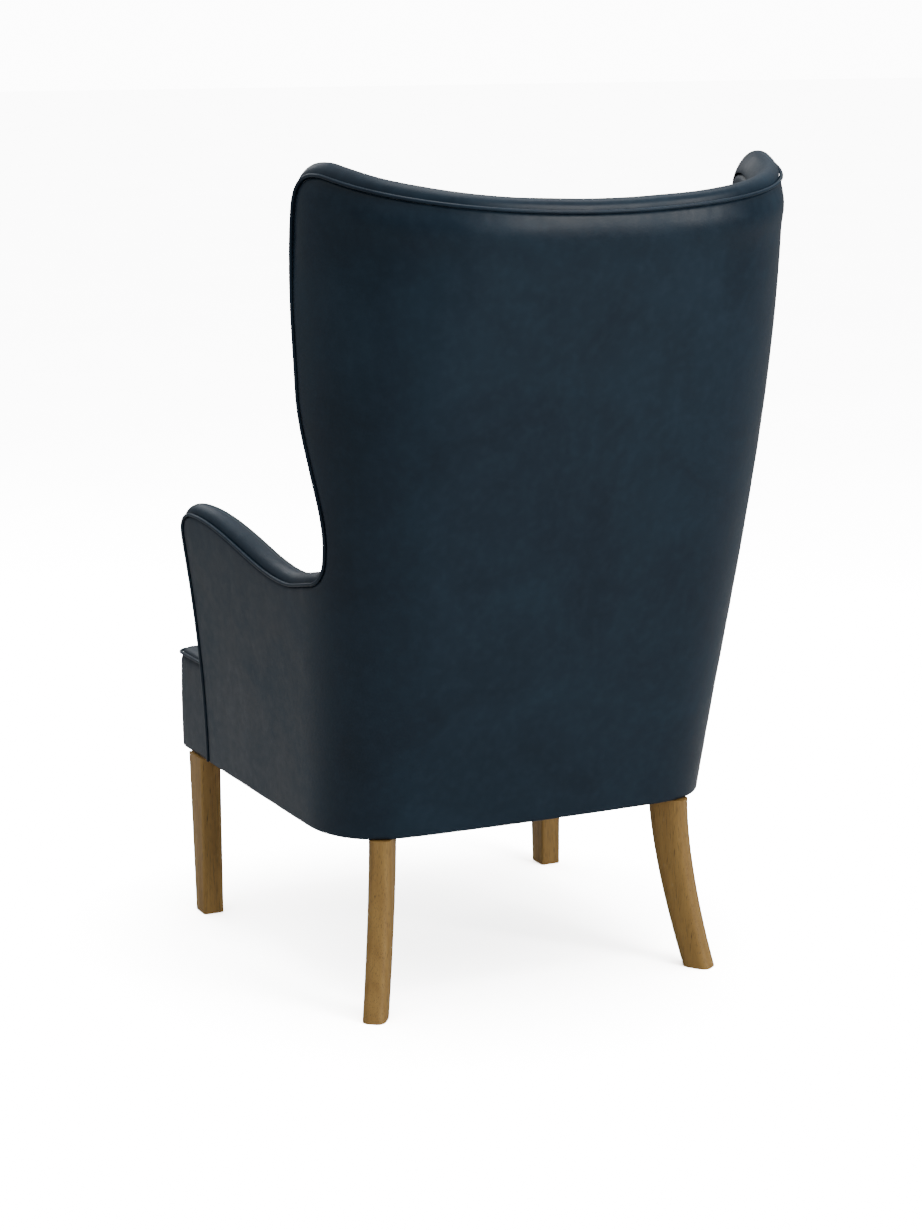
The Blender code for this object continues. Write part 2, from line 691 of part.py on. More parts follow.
# Arm post: stands in the seat rail, tongue up into the arm rail.
up = slotted(lambda s: arm_rail_low(s) - 3 * CLEAR, [post_top_s + v for v in ARM_POST],
             [(arm_slot[0], arm_slot[1], arm_rail_low(arm_slot[0]) + TENON)])
down = slotted(lambda s: RAIL_Z1 + CLEAR, [post_foot_s + v for v in ARM_POST],
               [(foot_slot[0], foot_slot[1], RAIL_Z1 - TENON)])
front = [(front_s(z) + ARM_POST[1], z) for z in stretch(RAIL_Z1, arm_rail_low(tip), 4)[1:-1]]
rear = [(s + ARM_POST[0] - ARM_POST[1], z) for s, z in front]
arm_post = up + front[::-1] + down[::-1] + rear
board("arm_post_left", arm_post)
board("arm_post_right", mirrored(arm_post))

# Wing post: follows the front edge of the wing between arm rail and wing rail.
foot = slotted(lambda s: arm_rail_top(s) + CLEAR, WING_POST,
               [(wing_slot[0], wing_slot[1], arm_rail_top(wing_slot[0]) - TENON)])
head_s = wing_s(WING_RAIL_Z)
head_slot = (head_s - 0.030, head_s - EDGE - 0.008)
heights = stretch(NECK_Z + 0.03, WING_RAIL_Z - CLEAR, 6)
outer = [(wing_s(z) - EDGE, z) for z in heights]
inside = [(wing_s(z) - 0.038, z) for z in heights]
head = [(head_slot[1], WING_RAIL_Z - CLEAR), (head_slot[1], WING_RAIL_Z + TENON),
        (head_slot[0], WING_RAIL_Z + TENON), (head_slot[0], WING_RAIL_Z - CLEAR)]
shape = foot + outer + head + inside[::-1]
board("wing_post_left", shape)
board("wing_post_right", mirrored(shape))

# Wing rail: under the top seam from the back post round to the front of the wing.
edge_path = inset_half(EDGE)[len(ARM_PATH) - 1:]
crown = [p for p in edge_path if p[0] > POST_S1 + 0.004 and p[1] > WING_RAIL_Z + 0.004]
low_z = wing_tongue[0] - 0.010
shape = [(POST_S1 + CLEAR, low_z), (POST_S1 + 0.05, WING_RAIL_Z),
         (head_slot[0] - CLEAR, WING_RAIL_Z), (head_slot[0] - CLEAR, WING_RAIL_Z + TENON + CLEAR),
         (head_slot[1] + CLEAR, WING_RAIL_Z + TENON + CLEAR), (head_slot[1] + CLEAR, WING_RAIL_Z),
         (head_s - EDGE, WING_RAIL_Z)] + crown + [(POST_S1 + CLEAR, top_z(POST_S1) - EDGE)]
shape += [(POST_S1 + CLEAR, wing_tongue[1]), (POST_S1 - TENON, wing_tongue[1]),
          (POST_S1 - TENON, wing_tongue[0]), (POST_S1 + CLEAR, wing_tongue[0])]
board("wing_rail_left", shape)
board("wing_rail_right", mirrored(shape))

# ---------------------------------------------------------------- seat frame
BLOCK_S1 = 0.300
BLOCK_D1 = 0.072
FRONT_LEG_Y = FRONT_LEG_BACK_Y - FRONT_LEG_TOP / 2


def girth_at(y, z):
    """Girth at which the side of the shell passes a given y, ahead of the rear corner."""
    lo, hi = 0.30, 1.00
    for _ in range(40):
        mid = (lo + hi) / 2
        if plan_point(mid, z)[0].y > y:
            lo = mid
        else:
            hi = mid
    return lo


RAIL_END_S = girth_at(FRONT_RAIL_Y0 + CLEAR, RIM_Z)
LEG_S = girth_at(FRONT_LEG_Y, RIM_Z)
LEG_TENON = (FRONT_LEG_Y - 0.010, FRONT_LEG_Y + 0.010)
LEG_TENON_Z = RAIL_Z0 + 0.040


def upright(y, *heights):
    """Pattern points of a plumb line on the side of the shell."""
    return [(girth_at(y, z), z) for z in heights]


side_low = [(BLOCK_S1 + CLEAR, RAIL_Z0)] + upright(LEG_TENON[1] + 0.001, RAIL_Z0, LEG_TENON_Z + 0.001)
side_low += upright(LEG_TENON[0] - 0.001, LEG_TENON_Z + 0.001, RAIL_Z0)
side_low += upright(FRONT_RAIL_Y0, RAIL_Z0, RAIL_Z1)
side_top = slotted(lambda s: RAIL_Z1, (BLOCK_S1 + CLEAR,),
                   [(foot_slot[0] - CLEAR, foot_slot[1] + CLEAR, RAIL_Z1 - TENON - CLEAR)])
side_end = [(BLOCK_S1 + CLEAR, rear_tongue[1]), (BLOCK_S1 + CLEAR - TENON, rear_tongue[1]),
            (BLOCK_S1 + CLEAR - TENON, rear_tongue[0]), (BLOCK_S1 + CLEAR, rear_tongue[0])]
side_rail = side_low + side_top[::-1] + side_end


def plumb(s, z):
    """How far the shell leans out over its rim, ahead of the arms."""
    return ease((abs(s) - ARM_FOOT_S + 0.10) / 0.07) * (shell(abs(s), z, 0).x - shell(abs(s), RIM_Z, 0).x)


board("seat_rail_left", side_rail, plumb)
board("seat_rail_right", mirrored(side_rail), plumb)

front_inner = shell(RAIL_END_S, RIM_Z, BOARD_D1 + 2 * CLEAR).x
cells("seat_rail_front", [((-front_inner, front_inner), (FRONT_RAIL_Y0, FRONT_RAIL_Y1), (RAIL_Z0, RAIL_Z1))],
      [], "beech")

for side, word in ((1, "left"), (-1, "right")):
    # Rear corner block: takes both rails, the back post and the spigot of the leg.
    low, high = rear_tongue
    deep = BOARD_D1 + CLEAR
    parts = [((SEAM_S + CLEAR, BLOCK_S1), (RAIL_Z0, RAIL_Z1), (BOARD_D0, BLOCK_D1))]
    holes = [((0, SEAM_S + TENON + CLEAR), (low - CLEAR, high + CLEAR), (0, deep)),
             ((BLOCK_S1 - TENON - CLEAR, 1), (low - CLEAR, high + CLEAR), (0, deep)),
             ((POST_S0 + 0.011 - CLEAR, POST_S1 - 0.009 + CLEAR), (RAIL_Z1 - TENON - CLEAR, 1), (0, deep))]
    block = cells("corner_block_rear_" + word, parts, holes, "beech",
                  lambda s, z, d, k=side: shell(k * s, z, d), (S_HALF, Z_LINES))
    centre = shell(side * REAR_LEG_S, RIM_Z, REAR_LEG_IN)
    angle = radians(REAR_LEG_DEG)
    outward = Vector((side * sin(angle), cos(angle), 0))
    across = Vector((-outward.y, outward.x, 0))

    def spigot_ring(z, r, c=centre, sides=10):
        return [Vector((c.x + r * cos(2 * pi * k / sides), c.y + r * sin(2 * pi * k / sides), z))
                for k in range(sides)]

    bore = loft("bore", [spigot_ring(RIM_Z - 0.02, SPIGOT_R + CLEAR),
                         spigot_ring(RAIL_Z0 + SPIGOT_H + CLEAR, SPIGOT_R + CLEAR)], "beech")
    cut(block, bore)

    # Rear leg: a sabre leg in the plane of the corner, with a turned spigot on top.
    def leg_ring(z, sides=10):
        t = z / (RIM_Z - CLEAR)
        depth = REAR_LEG_FOOT + (REAR_LEG_TOP - REAR_LEG_FOOT) * t ** 1.26
        mid = centre + outward * (REAR_LEG_SPLAY * (1 - t) ** 1.55)
        ring = []
        for k in range(sides):
            a = 2 * pi * k / sides
            u = abs(cos(a)) ** 0.62 * (1 if cos(a) > 0 else -1)
            v = abs(sin(a)) ** 0.62 * (1 if sin(a) > 0 else -1)
            ring.append(Vector((mid.x, mid.y, z)) + outward * u * depth / 2 + across * v * REAR_LEG_W / 2)
        return ring

    top = RIM_Z - CLEAR
    rings = [leg_ring(top * f) for f in (0, 0.12, 0.28, 0.46, 0.66, 0.86, 1.0)]
    turn = [(outward * cos(2 * pi * k / 10) + across * sin(2 * pi * k / 10)) * (SPIGOT_R - CLEAR)
            for k in range(10)]
    rings += [[Vector((centre.x, centre.y, z)) + t for t in turn] for z in (top, RAIL_Z0 + SPIGOT_H)]
    loft("rear_leg_" + word, rings, "oak")

    # Front leg: square to the seat, front face tapered, tenon up into the side rail.
    outer_x = shell(LEG_S, RIM_Z, 0).x + FRONT_LEG_PROUD
    inner_x = outer_x - FRONT_LEG_X
    soft = 0.004

    def front_ring(z, depth):
        y1, y0 = FRONT_LEG_BACK_Y, FRONT_LEG_BACK_Y - depth
        pts = [(inner_x + soft, y1), (inner_x, y1 - soft), (inner_x, y0 + soft), (inner_x + soft, y0),
               (outer_x - soft, y0), (outer_x, y0 + soft), (outer_x, y1 - soft), (outer_x - soft, y1)]
        return [Vector((side * x, y, z)) for x, y in pts]

    def tenon_ring(z):
        x0 = shell(LEG_S, RIM_Z, BOARD_D1).x + 0.002
        x1 = shell(LEG_S, RIM_Z, BOARD_D0).x - 0.001
        y0, y1 = LEG_TENON
        pts = [(x0 + 0.001, y1), (x0, y1 - 0.001), (x0, y0 + 0.001), (x0 + 0.001, y0),
               (x1 - 0.001, y0), (x1, y0 + 0.001), (x1, y1 - 0.001), (x1 - 0.001, y1)]
        return [Vector((side * x, y, z)) for x, y in pts]

    loft("front_leg_" + word, [front_ring(0, FRONT_LEG_FOOT), front_ring(top, FRONT_LEG_TOP),
                               tenon_ring(top), tenon_ring(LEG_TENON_Z)], "oak")

    # Front corner block: glued into the corner behind the front rail.
    wide = 0.052
    inner_face = front_inner - CLEAR
    y0 = FRONT_RAIL_Y1 + CLEAR
    rings = [[Vector((side * x, y, z)) for x, y in ((inner_face, y0), (inner_face, y0 + wide),
                                                   (inner_face - 0.014, y0 + wide),
                                                   (inner_face - wide, y0 + 0.014),
                                                   (inner_face - wide, y0))]
             for z in (RAIL_Z0 + 0.004, RAIL_Z1 - 0.006)]
    loft("corner_block_front_" + word, rings, "beech")

# ---------------------------------------------------------------- springs and webbing
SPRING_Y0 = FRONT_RAIL_Y0 + 0.008
SPRING_Z = RAIL_Z1 + WIRE_R + 0.0004
arch_end = min(shell(s, PAD_Z0, inner(s, PAD_Z0)).y for s in (0.0, 0.100, SEAM_S)) - 0.006
for i in range(SPRING_COUNT):
    x = (i - (SPRING_COUNT - 1) / 2) * SPRING_PITCH
    end_y = shell(abs(x), RAIL_Z1, BOARD_D1).y + 0.008
    line = []
    bends = 2 * int((end_y - SPRING_Y0) / SPRING_STEP / 2) + 1
    count = bends * 3
    for k in range(count):
        swing = SPRING_SWING * (1, 0.86, -0.86, -1, -0.86, 0.86)[k % 6] * (0.3 if k in (0, count - 1) else 1)
        y = SPRING_Y0 + (end_y - SPRING_Y0) * (k + 0.5) / count
        arch = ease(min(y - SPRING_Y0, arch_end - y) / 0.110)
        line.append(Vector((x + swing, y, SPRING_Z + SPRING_ARCH * arch)))
    tube("seat_spring_%d" % (i + 1), line, WIRE_R, "spring_wire", 4)

for i in range(5):
    z = LOW_RAIL[1] + 0.050 + (crest_low(0) - 0.06 - LOW_RAIL[1] - 0.050) * i / 4
    s = POST_S1 - 0.004
    panel("back_strap_%d" % (i + 1), [(-s, z - STRAP_W / 2), (s, z - STRAP_W / 2), (s, z + STRAP_W / 2),
                                      (-s, z + STRAP_W / 2)],
          lambda s, z: BOARD_D1 + 0.0007, lambda s, z: BOARD_D1 + 0.0007 + STRAP_T, "webbing")

# ---------------------------------------------------------------- seat upholstery
side_s = [s for s in S_HALF if s < ARM_FOOT_S - 0.03] + [ARM_FOOT_S - 0.03]
ARM_NOSE_Y = min(shell(front_s(z) + BAND_DOME + 0.0012, z, d).y
                 for z in (RAIL_Z1, (RAIL_Z1 + SEAT_EDGE_Z) / 2, SEAT_EDGE_Z + 0.02) for d in (0.01, 0.03, 0.05))
ARM_FOOT_Y = shell(front_s(RAIL_Z1) + WELT_R + WELT_DEPTH, RIM_Z, 0).y
EAR_Y = min(ARM_NOSE_Y, ARM_FOOT_Y) - 0.0015
EAR_S, EAR_END_S = girth_at(EAR_Y, RIM_Z), girth_at(SEAT_FRONT_Y, RIM_Z)


def round_corner(half, front, radius, n=4):
    """Points round a front corner of the seat in plan, from the side to the front."""
    turn = [pi / 2 * k / n for k in range(n + 1)]
    return [(half - radius + radius * cos(a), front + radius - radius * sin(a)) for a in turn]


def seat_ring(z, gap, front, skin, ears=True):
    """Plan outline of the seat: along the inside covers, then out and round the front."""
    rear = [shell(s, z, inner(s, z) + gap) for s in side_s]
    pts = [(p.x, p.y) for p in rear]
    if ears:
        x_in = pts[-1][0]
        pts += [(x_in, EAR_Y), (shell(EAR_S, RIM_Z, skin).x, EAR_Y)]
        pts += round_corner(shell(EAR_END_S, RIM_Z, skin).x, front, SEAT_BORDER_R)
    else:
        pts.append((pts[-1][0] - 0.003, EAR_Y))
        pts += round_corner(skin, front, 0.006, 1)
    pts.append((0.0, front))
    ring = [Vector((x, y, z)) for x, y in pts]
    return ring + [Vector((-v.x, v.y, v.z)) for v in ring[-2:0:-1]]


def shrunk(ring, k, z):
    """The seat outline drawn in towards its middle; the ears narrow with it."""
    mid = EAR_Y - 0.030
    front = min(v.y for v in ring)
    draw = 0.060 * (1 - ((k - 0.6) / 0.4) ** 2)
    return [Vector((v.x * k, mid + (v.y - mid) * k if v.y > mid else v.y + draw * (mid - v.y) / (mid - front), z))
            for v in ring]


def capped(name, rings, low, high, slot):
    """Closed body from rings, with a fan to a middle point at each end."""
    n = len(rings[0])
    verts = [v for ring in rings for v in ring] + [low, high]
    faces = []
    for k in range(len(rings) - 1):
        for i in range(n):
            j = (i + 1) % n
            faces.append((k * n + i, k * n + j, (k + 1) * n + j, (k + 1) * n + i))
    bottom, top_v = len(verts) - 2, len(verts) - 1
    for i in range(n):
        j = (i + 1) % n
        faces.append((i, j, bottom))
        faces.append(((len(rings) - 1) * n + j, (len(rings) - 1) * n + i, top_v))
    return add(name, verts, faces, slot)


HESSIAN_T = 0.0012
base = RAIL_Z1 + 2 * WIRE_R + 0.0012
deck = base + SPRING_ARCH + 0.0006
under = seat_ring(base, 0.004, FRONT_RAIL_Y1 - 0.006, front_inner - 0.008, False)
raised = shrunk(under, 0.90, deck)
thick = Vector((0, 0, HESSIAN_T))
capped("spring_hessian", [raised, under, [v + thick for v in under], [v + thick for v in raised]],
       Vector((0, -0.10, deck)), Vector((0, -0.10, deck + HESSIAN_T)), "hessian")

lift = HESSIAN_T + 0.0006
BORDER_TOP = SEAT_EDGE_Z - 2 * WELT_R - LEATHER - 0.0012
under_skin = LEATHER + 0.0016
face = SEAT_FRONT_Y + under_skin
outer_low = seat_ring(PAD_Z0, 0.0006, face, under_skin)
outer_top = seat_ring(BORDER_TOP - 0.001, 0.0006, face, under_skin)
crown = SEAT_EDGE_Z - LEATHER - 0.0006
edge_top = seat_ring(crown, 0.0006, face + 0.007, under_skin + 0.007)
capped("seat_padding", [shrunk(outer_low, 0.94, deck + lift), outer_low, outer_top, edge_top,
                        shrunk(edge_top, 0.86, crown + 0.6 * SEAT_CROWN - 0.0015),
                        shrunk(edge_top, 0.60, crown + 0.9 * SEAT_CROWN - 0.003)],
       Vector((0, -0.10, deck + lift)), Vector((0, -0.10, crown + SEAT_CROWN - 0.003)), "padding")

z0, z1 = SEAT_EDGE_Z - LEATHER, SEAT_EDGE_Z
skin = seat_ring(z0, 0.0006, face, under_skin)
rings = []
swell = {1.0: 0.0, 0.86: 0.6, 0.60: 0.9}
for z, order in ((z0, (0.60, 0.86, 1.0)), (z1, (1.0, 0.86, 0.60))):
    for k in order:
        rings.append(shrunk(skin, k, z + swell[k] * SEAT_CROWN))
capped("seat_cover", rings, Vector((0, -0.10, z0 + SEAT_CROWN)), Vector((0, -0.10, z1 + SEAT_CROWN)), "leather")


def border_line(skin):
    """Plan line of the seat border: side, round corner, front."""
    pts = [(shell(EAR_S, RIM_Z, skin).x, EAR_Y)]
    pts += round_corner(shell(EAR_END_S, RIM_Z, skin).x, SEAT_FRONT_Y + skin, SEAT_BORDER_R - skin)
    pts.append((0.0, SEAT_FRONT_Y + skin))
    return pts + [(-x, y) for x, y in pts[-2::-1]]


# Border: one plumb strip round the ears and the front, from the rim up to the seat's welt.
rings = [[Vector((x, y, z)) for (x, y), z in zip((out, out, skin, skin), (RIM_Z, BORDER_TOP, BORDER_TOP, RIM_Z))]
         for out, skin in zip(border_line(0.0), border_line(LEATHER))]
loft("seat_border", rings, "leather")
z = BORDER_TOP + WELT_R + 0.0004
tube("seat_welt", [Vector((x, y, z)) for x, y in border_line(WELT_R / 6)], WELT_R, "leather", 5)

# Front padding between the front rail and the border.
cells("seat_front_padding", [((-front_inner, front_inner), (face, FRONT_RAIL_Y0 - 0.0005),
                              (RIM_Z + 0.002, PAD_Z0 - 0.0006))], [], "padding")

# Dust cover tacked under the rails.
z = RIM_Z - 0.0002
plan = [shell(s, RIM_Z, 0.010) for s in (-0.100, 0.0, 0.100)]
flank = [shell(s, RIM_Z, 0.010) for s in (0.395, 0.50, 0.64)]
line = [(p.x, p.y) for p in plan] + [(p.x, p.y) for p in flank]
line += [(front_inner - 0.020, FRONT_RAIL_Y0 + 0.008)]
line = line + [(-x, y) for x, y in line[:2:-1]]
loft("dust_cover", [[Vector((x, y, h)) for x, y in line] for h in (z - 0.0010, z)], "cambric")

# ---------------------------------------------------------------- origin under the middle of the depth
ends = [(obj.matrix_world @ v.co).y for obj in bpy.data.objects for v in obj.data.vertices]
shift = -(min(ends) + max(ends)) / 2
for obj in bpy.data.objects:
    for v in obj.data.vertices:
        v.co.y += shift
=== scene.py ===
"""A high-back wing chair in dark leather on oak legs, made piece by piece in the order it goes together."""
import bmesh
import bpy
import numpy as np
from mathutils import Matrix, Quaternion, Vector, geometry, noise


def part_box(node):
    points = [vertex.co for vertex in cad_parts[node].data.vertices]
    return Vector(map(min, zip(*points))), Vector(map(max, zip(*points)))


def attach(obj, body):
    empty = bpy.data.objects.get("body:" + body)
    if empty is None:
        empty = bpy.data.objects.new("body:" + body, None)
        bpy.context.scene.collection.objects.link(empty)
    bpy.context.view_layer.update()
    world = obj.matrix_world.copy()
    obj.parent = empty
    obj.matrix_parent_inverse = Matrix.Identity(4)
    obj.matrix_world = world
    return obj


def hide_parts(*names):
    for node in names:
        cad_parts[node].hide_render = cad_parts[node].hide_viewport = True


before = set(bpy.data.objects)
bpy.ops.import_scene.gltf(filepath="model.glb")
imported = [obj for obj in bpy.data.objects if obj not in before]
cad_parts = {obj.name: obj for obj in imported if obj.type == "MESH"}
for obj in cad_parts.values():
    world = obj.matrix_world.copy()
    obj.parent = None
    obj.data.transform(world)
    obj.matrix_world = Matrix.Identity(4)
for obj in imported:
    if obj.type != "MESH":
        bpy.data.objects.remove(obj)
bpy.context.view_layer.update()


# ------------------------------------------------------------------ carcass
# The hidden frame: posts, rails and corner blocks of steamed beech, 24 mm thick, joined with
# stub tenons and glue. The blocks take the leg joints. It is left sawn, with no finish.
def add_node(tree, kind, feeds=None, **settings):
    """Put a shader node in a tree; feeds gives its sockets a value or another node's output."""
    made = tree.nodes.new("ShaderNode" + kind)
    for key, value in settings.items():
        setattr(made, key, value)
    for key, value in (feeds or {}).items():
        if isinstance(value, bpy.types.NodeSocket):
            tree.links.new(value, made.inputs[key])
        else:
            made.inputs[key].default_value = value
    return made


def new_group(name, takes, gives):
    tree = bpy.data.node_groups.new(name, "ShaderNodeTree")
    for label, kind, value in takes:
        socket = tree.interface.new_socket(label, in_out="INPUT", socket_type="NodeSocket" + kind)
        if value is not None:
            socket.default_value = value
    for label, kind in gives:
        tree.interface.new_socket(label, in_out="OUTPUT", socket_type="NodeSocket" + kind)
    return tree, tree.nodes.new("NodeGroupInput").outputs, tree.nodes.new("NodeGroupOutput").inputs


def calc(tree, operation, *values):
    return add_node(tree, "Math", dict(enumerate(values)), operation=operation).outputs[0]


def between(tree, share, low, high):
    made = add_node(tree, "Mix", {0: share, 6: low, 7: high}, data_type="RGBA")
    return made.outputs[2]


def span(tree, value, low, high, out_low=0.0, out_high=1.0):
    feeds = {0: value, 1: low, 2: high, 3: out_low, 4: out_high}
    return add_node(tree, "MapRange", feeds).outputs[0]


# Wood figure, shared by beech and oak: growth rings, colour streaks, short dark pores and rays.
# Coordinates come in with the grain along Z, in metres.
tree, given, out = new_group(
    "wood_figure",
    [("Along Grain", "Vector", None), ("Light Wood", "Color", (0.5, 0.3, 0.1, 1)),
     ("Dark Wood", "Color", (0.3, 0.2, 0.1, 1)), ("Ring Width", "Float", 0.006),
     ("Pore Depth", "Float", 0.5)],
    [("Colour", "Color"), ("Roughness", "Float"), ("Height", "Float")])
drawn_out = add_node(tree, "Mapping", {"Vector": given["Along Grain"], "Scale": (1, 1, 0.06)}).outputs[0]
sway = add_node(tree, "TexNoise", {"Vector": drawn_out, "Scale": 14.0, "Detail": 3.0}).outputs["Fac"]
across = add_node(tree, "SeparateXYZ", {0: given["Along Grain"]}).outputs
ring_place = calc(tree, "ADD", calc(tree, "MULTIPLY", across["X"], 0.8),
                  calc(tree, "MULTIPLY", across["Y"], 0.6))
ring_place = calc(tree, "ADD", ring_place, calc(tree, "MULTIPLY", sway, 0.045))
ring = calc(tree, "PINGPONG", calc(tree, "DIVIDE", ring_place, given["Ring Width"]), 1.0)
streak = add_node(tree, "TexNoise", {"Vector": drawn_out, "Scale": 260.0, "Detail": 4.0}).outputs["Fac"]
pore_shape = add_node(tree, "Mapping", {"Vector": given["Along Grain"], "Scale": (1, 1, 0.035)}).outputs[0]
pore = add_node(tree, "TexNoise", {"Vector": pore_shape, "Scale": 1500.0, "Detail": 1.0}).outputs["Fac"]
pore = span(tree, pore, 0.60, 0.70)
ray_shape = add_node(tree, "Mapping", {"Vector": given["Along Grain"], "Scale": (1, 0.25, 0.18)}).outputs[0]
ray = span(tree, add_node(tree, "TexNoise", {"Vector": ray_shape, "Scale": 420.0}).outputs["Fac"], 0.66, 0.74)
board_tone = add_node(tree, "TexNoise", {"Vector": drawn_out, "Scale": 9.0, "Detail": 2.0}).outputs["Fac"]
share = calc(tree, "ADD", calc(tree, "MULTIPLY", ring, 0.30), calc(tree, "MULTIPLY", streak, 0.55))
share = calc(tree, "ADD", share, span(tree, board_tone, 0.3, 0.7, -0.18, 0.18))
wood = between(tree, share, given["Light Wood"], given["Dark Wood"])
wood = between(tree, calc(tree, "MULTIPLY", pore, given["Pore Depth"]), wood, (0.07, 0.040, 0.015, 1))
wood = between(tree, calc(tree, "MULTIPLY", ray, 0.16), wood, (0.66, 0.50, 0.27, 1))
tree.links.new(wood, out["Colour"])
tree.links.new(span(tree, share, 0.0, 1.0, 0.40, 0.56), out["Roughness"])
tree.links.new(calc(tree, "SUBTRACT", calc(tree, "MULTIPLY", streak, 0.3), pore), out["Height"])


def new_material(name, **sockets):
    """A material with one Principled shader; plain values sit on the shader's own sockets."""
    made = bpy.data.materials.new(name)
    made.use_nodes = True
    shader = made.node_tree.nodes["Principled BSDF"]
    for label, value in sockets.items():
        shader.inputs[label.replace("_", " ")].default_value = value
    return made, made.node_tree, shader


def timber(name, turn, light, dark, ring_width, pores, relief):
    """Wood whose grain runs along Z after the turn (an XYZ rotation) is taken out."""
    made, tree, shader = new_material(name, IOR=1.5)
    place = add_node(tree, "TexCoord").outputs["Object"]
    grain = add_node(tree, "Mapping", {"Vector": place, "Rotation": turn}).outputs[0]
    feeds = {"Along Grain": grain, "Light Wood": light, "Dark Wood": dark, "Ring Width": ring_width,
             "Pore Depth": pores}
    figure = add_node(tree, "Group", node_tree=bpy.data.node_groups["wood_figure"])
    for key, value in feeds.items():
        if isinstance(value, bpy.types.NodeSocket):
            tree.links.new(value, figure.inputs[key])
        else:
            figure.inputs[key].default_value = value
    bump = add_node(tree, "Bump", {"Strength": 0.5, "Distance": relief, "Height": figure.outputs["Height"]})
    tree.links.new(figure.outputs["Colour"], shader.inputs["Base Color"])
    tree.links.new(figure.outputs["Roughness"], shader.inputs["Roughness"])
    tree.links.new(bump.outputs[0], shader.inputs["Normal"])
    return made


QUARTER = np.pi / 2
pale, mid = (0.58, 0.40, 0.24, 1), (0.40, 0.24, 0.12, 1)
beech_upright = timber("beech_upright", (0, 0, 0), pale, mid, 0.009, 0.25, 0.0002)
beech_across = timber("beech_across", (0, QUARTER, 0), pale, mid, 0.009, 0.25, 0.0002)
beech_along = timber("beech_along", (QUARTER, 0, 0), pale, mid, 0.009, 0.25, 0.0002)


def refinish(node, material):
    """Give a kept carcass piece its finish."""
    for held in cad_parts[node].material_slots:
        held.material = material


SIDES = (("left", 1), ("right", -1))
for node in ("lower_back_rail", "crest_rail", "seat_rail_front", "seat_rail_rear"):
    refinish(node, beech_across)
for word, _ in SIDES:
    for node in ("back_post_", "arm_post_", "wing_post_", "corner_block_front_", "corner_block_rear_"):
        refinish(node + word, beech_upright)
    for node in ("seat_rail_", "arm_rail_", "wing_rail_"):
        refinish(node + word, beech_along)


# ------------------------------------------------------------------ springs and straps
# Five zigzag springs of tempered wire run from the rear rail to the front rail, and five woven
# jute straps are tacked across between the back posts.
wire, tree, shader = new_material("tempered_wire", Metallic=1.0, IOR=2.4)
place = add_node(tree, "TexCoord").outputs["Object"]
scale_marks = add_node(tree, "TexNoise", {"Vector": place, "Scale": 320.0, "Detail": 4.0}).outputs["Fac"]
tree.links.new(between(tree, scale_marks, (0.20, 0.18, 0.17, 1), (0.46, 0.44, 0.42, 1)),
               shader.inputs["Base Color"])
tree.links.new(span(tree, scale_marks, 0.3, 0.7, 0.28, 0.5), shader.inputs["Roughness"])

# Plain weave, for jute and for the black lining: threads over and under at a given pitch. Its colour holds
# painted shade: each thread is lighter on its crown and darker where it dips between threads, with random
# slub variation on top.
tree, given, out = new_group(
    "plain_weave",
    [("Place", "Vector", None), ("Pitch", "Float", 0.002), ("Thread Crown", "Color", (0.4, 0.3, 0.2, 1)),
     ("Thread Painted Shade", "Color", (0.2, 0.15, 0.1, 1))],
    [("Colour", "Color"), ("Height", "Float")])
step = add_node(tree, "VectorMath", {0: given["Place"]}, operation="SCALE")
tree.links.new(calc(tree, "DIVIDE", np.pi, given["Pitch"]), step.inputs["Scale"])
axes = add_node(tree, "SeparateXYZ", {0: step.outputs[0]}).outputs
warp = calc(tree, "ABSOLUTE", calc(tree, "SINE", axes["X"]))
weft = calc(tree, "ABSOLUTE", calc(tree, "SINE", calc(tree, "ADD", axes["Y"], axes["Z"])))
over = calc(tree, "MULTIPLY", calc(tree, "SINE", axes["X"]),
            calc(tree, "SINE", calc(tree, "ADD", axes["Y"], axes["Z"])))
over = span(tree, over, -0.2, 0.2)
height = add_node(tree, "Mix", {0: over, 2: warp, 3: weft}).outputs[0]
slub = add_node(tree, "TexNoise", {"Vector": given["Place"], "Scale": 400.0, "Detail": 3.0}).outputs["Fac"]
# painted shade: the colour follows thread height, dark in the dips between threads, and the slub varies it at
# random
tone = calc(tree, "MULTIPLY", height, span(tree, slub, 0.25, 0.75, 0.5, 1.1))
tree.links.new(between(tree, tone, given["Thread Painted Shade"], given["Thread Crown"]), out["Colour"])
tree.links.new(calc(tree, "ADD", height, calc(tree, "MULTIPLY", slub, 0.4)), out["Height"])


def woven(name, pitch, light, dark, relief, rough):
    made, tree, shader = new_material(name, Roughness=rough, IOR=1.45, Sheen_Weight=0.15)
    weave = add_node(tree, "Group", node_tree=bpy.data.node_groups["plain_weave"])
    tree.links.new(add_node(tree, "TexCoord").outputs["Object"], weave.inputs["Place"])
    weave.inputs["Pitch"].default_value = pitch
    weave.inputs["Thread Crown"].default_value = light
    weave.inputs["Thread Painted Shade"].default_value = dark
    bump = add_node(tree, "Bump", {"Strength": 0.8, "Distance": relief, "Height": weave.outputs["Height"]})
    tree.links.new(weave.outputs["Colour"], shader.inputs["Base Color"])
    tree.links.new(bump.outputs[0], shader.inputs["Normal"])
    return made


# jute colours: the thread crown, then the painted shade between threads
jute = woven("jute_webbing", 0.0030, (0.46, 0.35, 0.20, 1), (0.22, 0.15, 0.08, 1), 0.0005, 0.92)
for number in range(1, 6):
    refinish("seat_spring_%d" % number, wire)
    refinish("back_strap_%d" % number, jute)


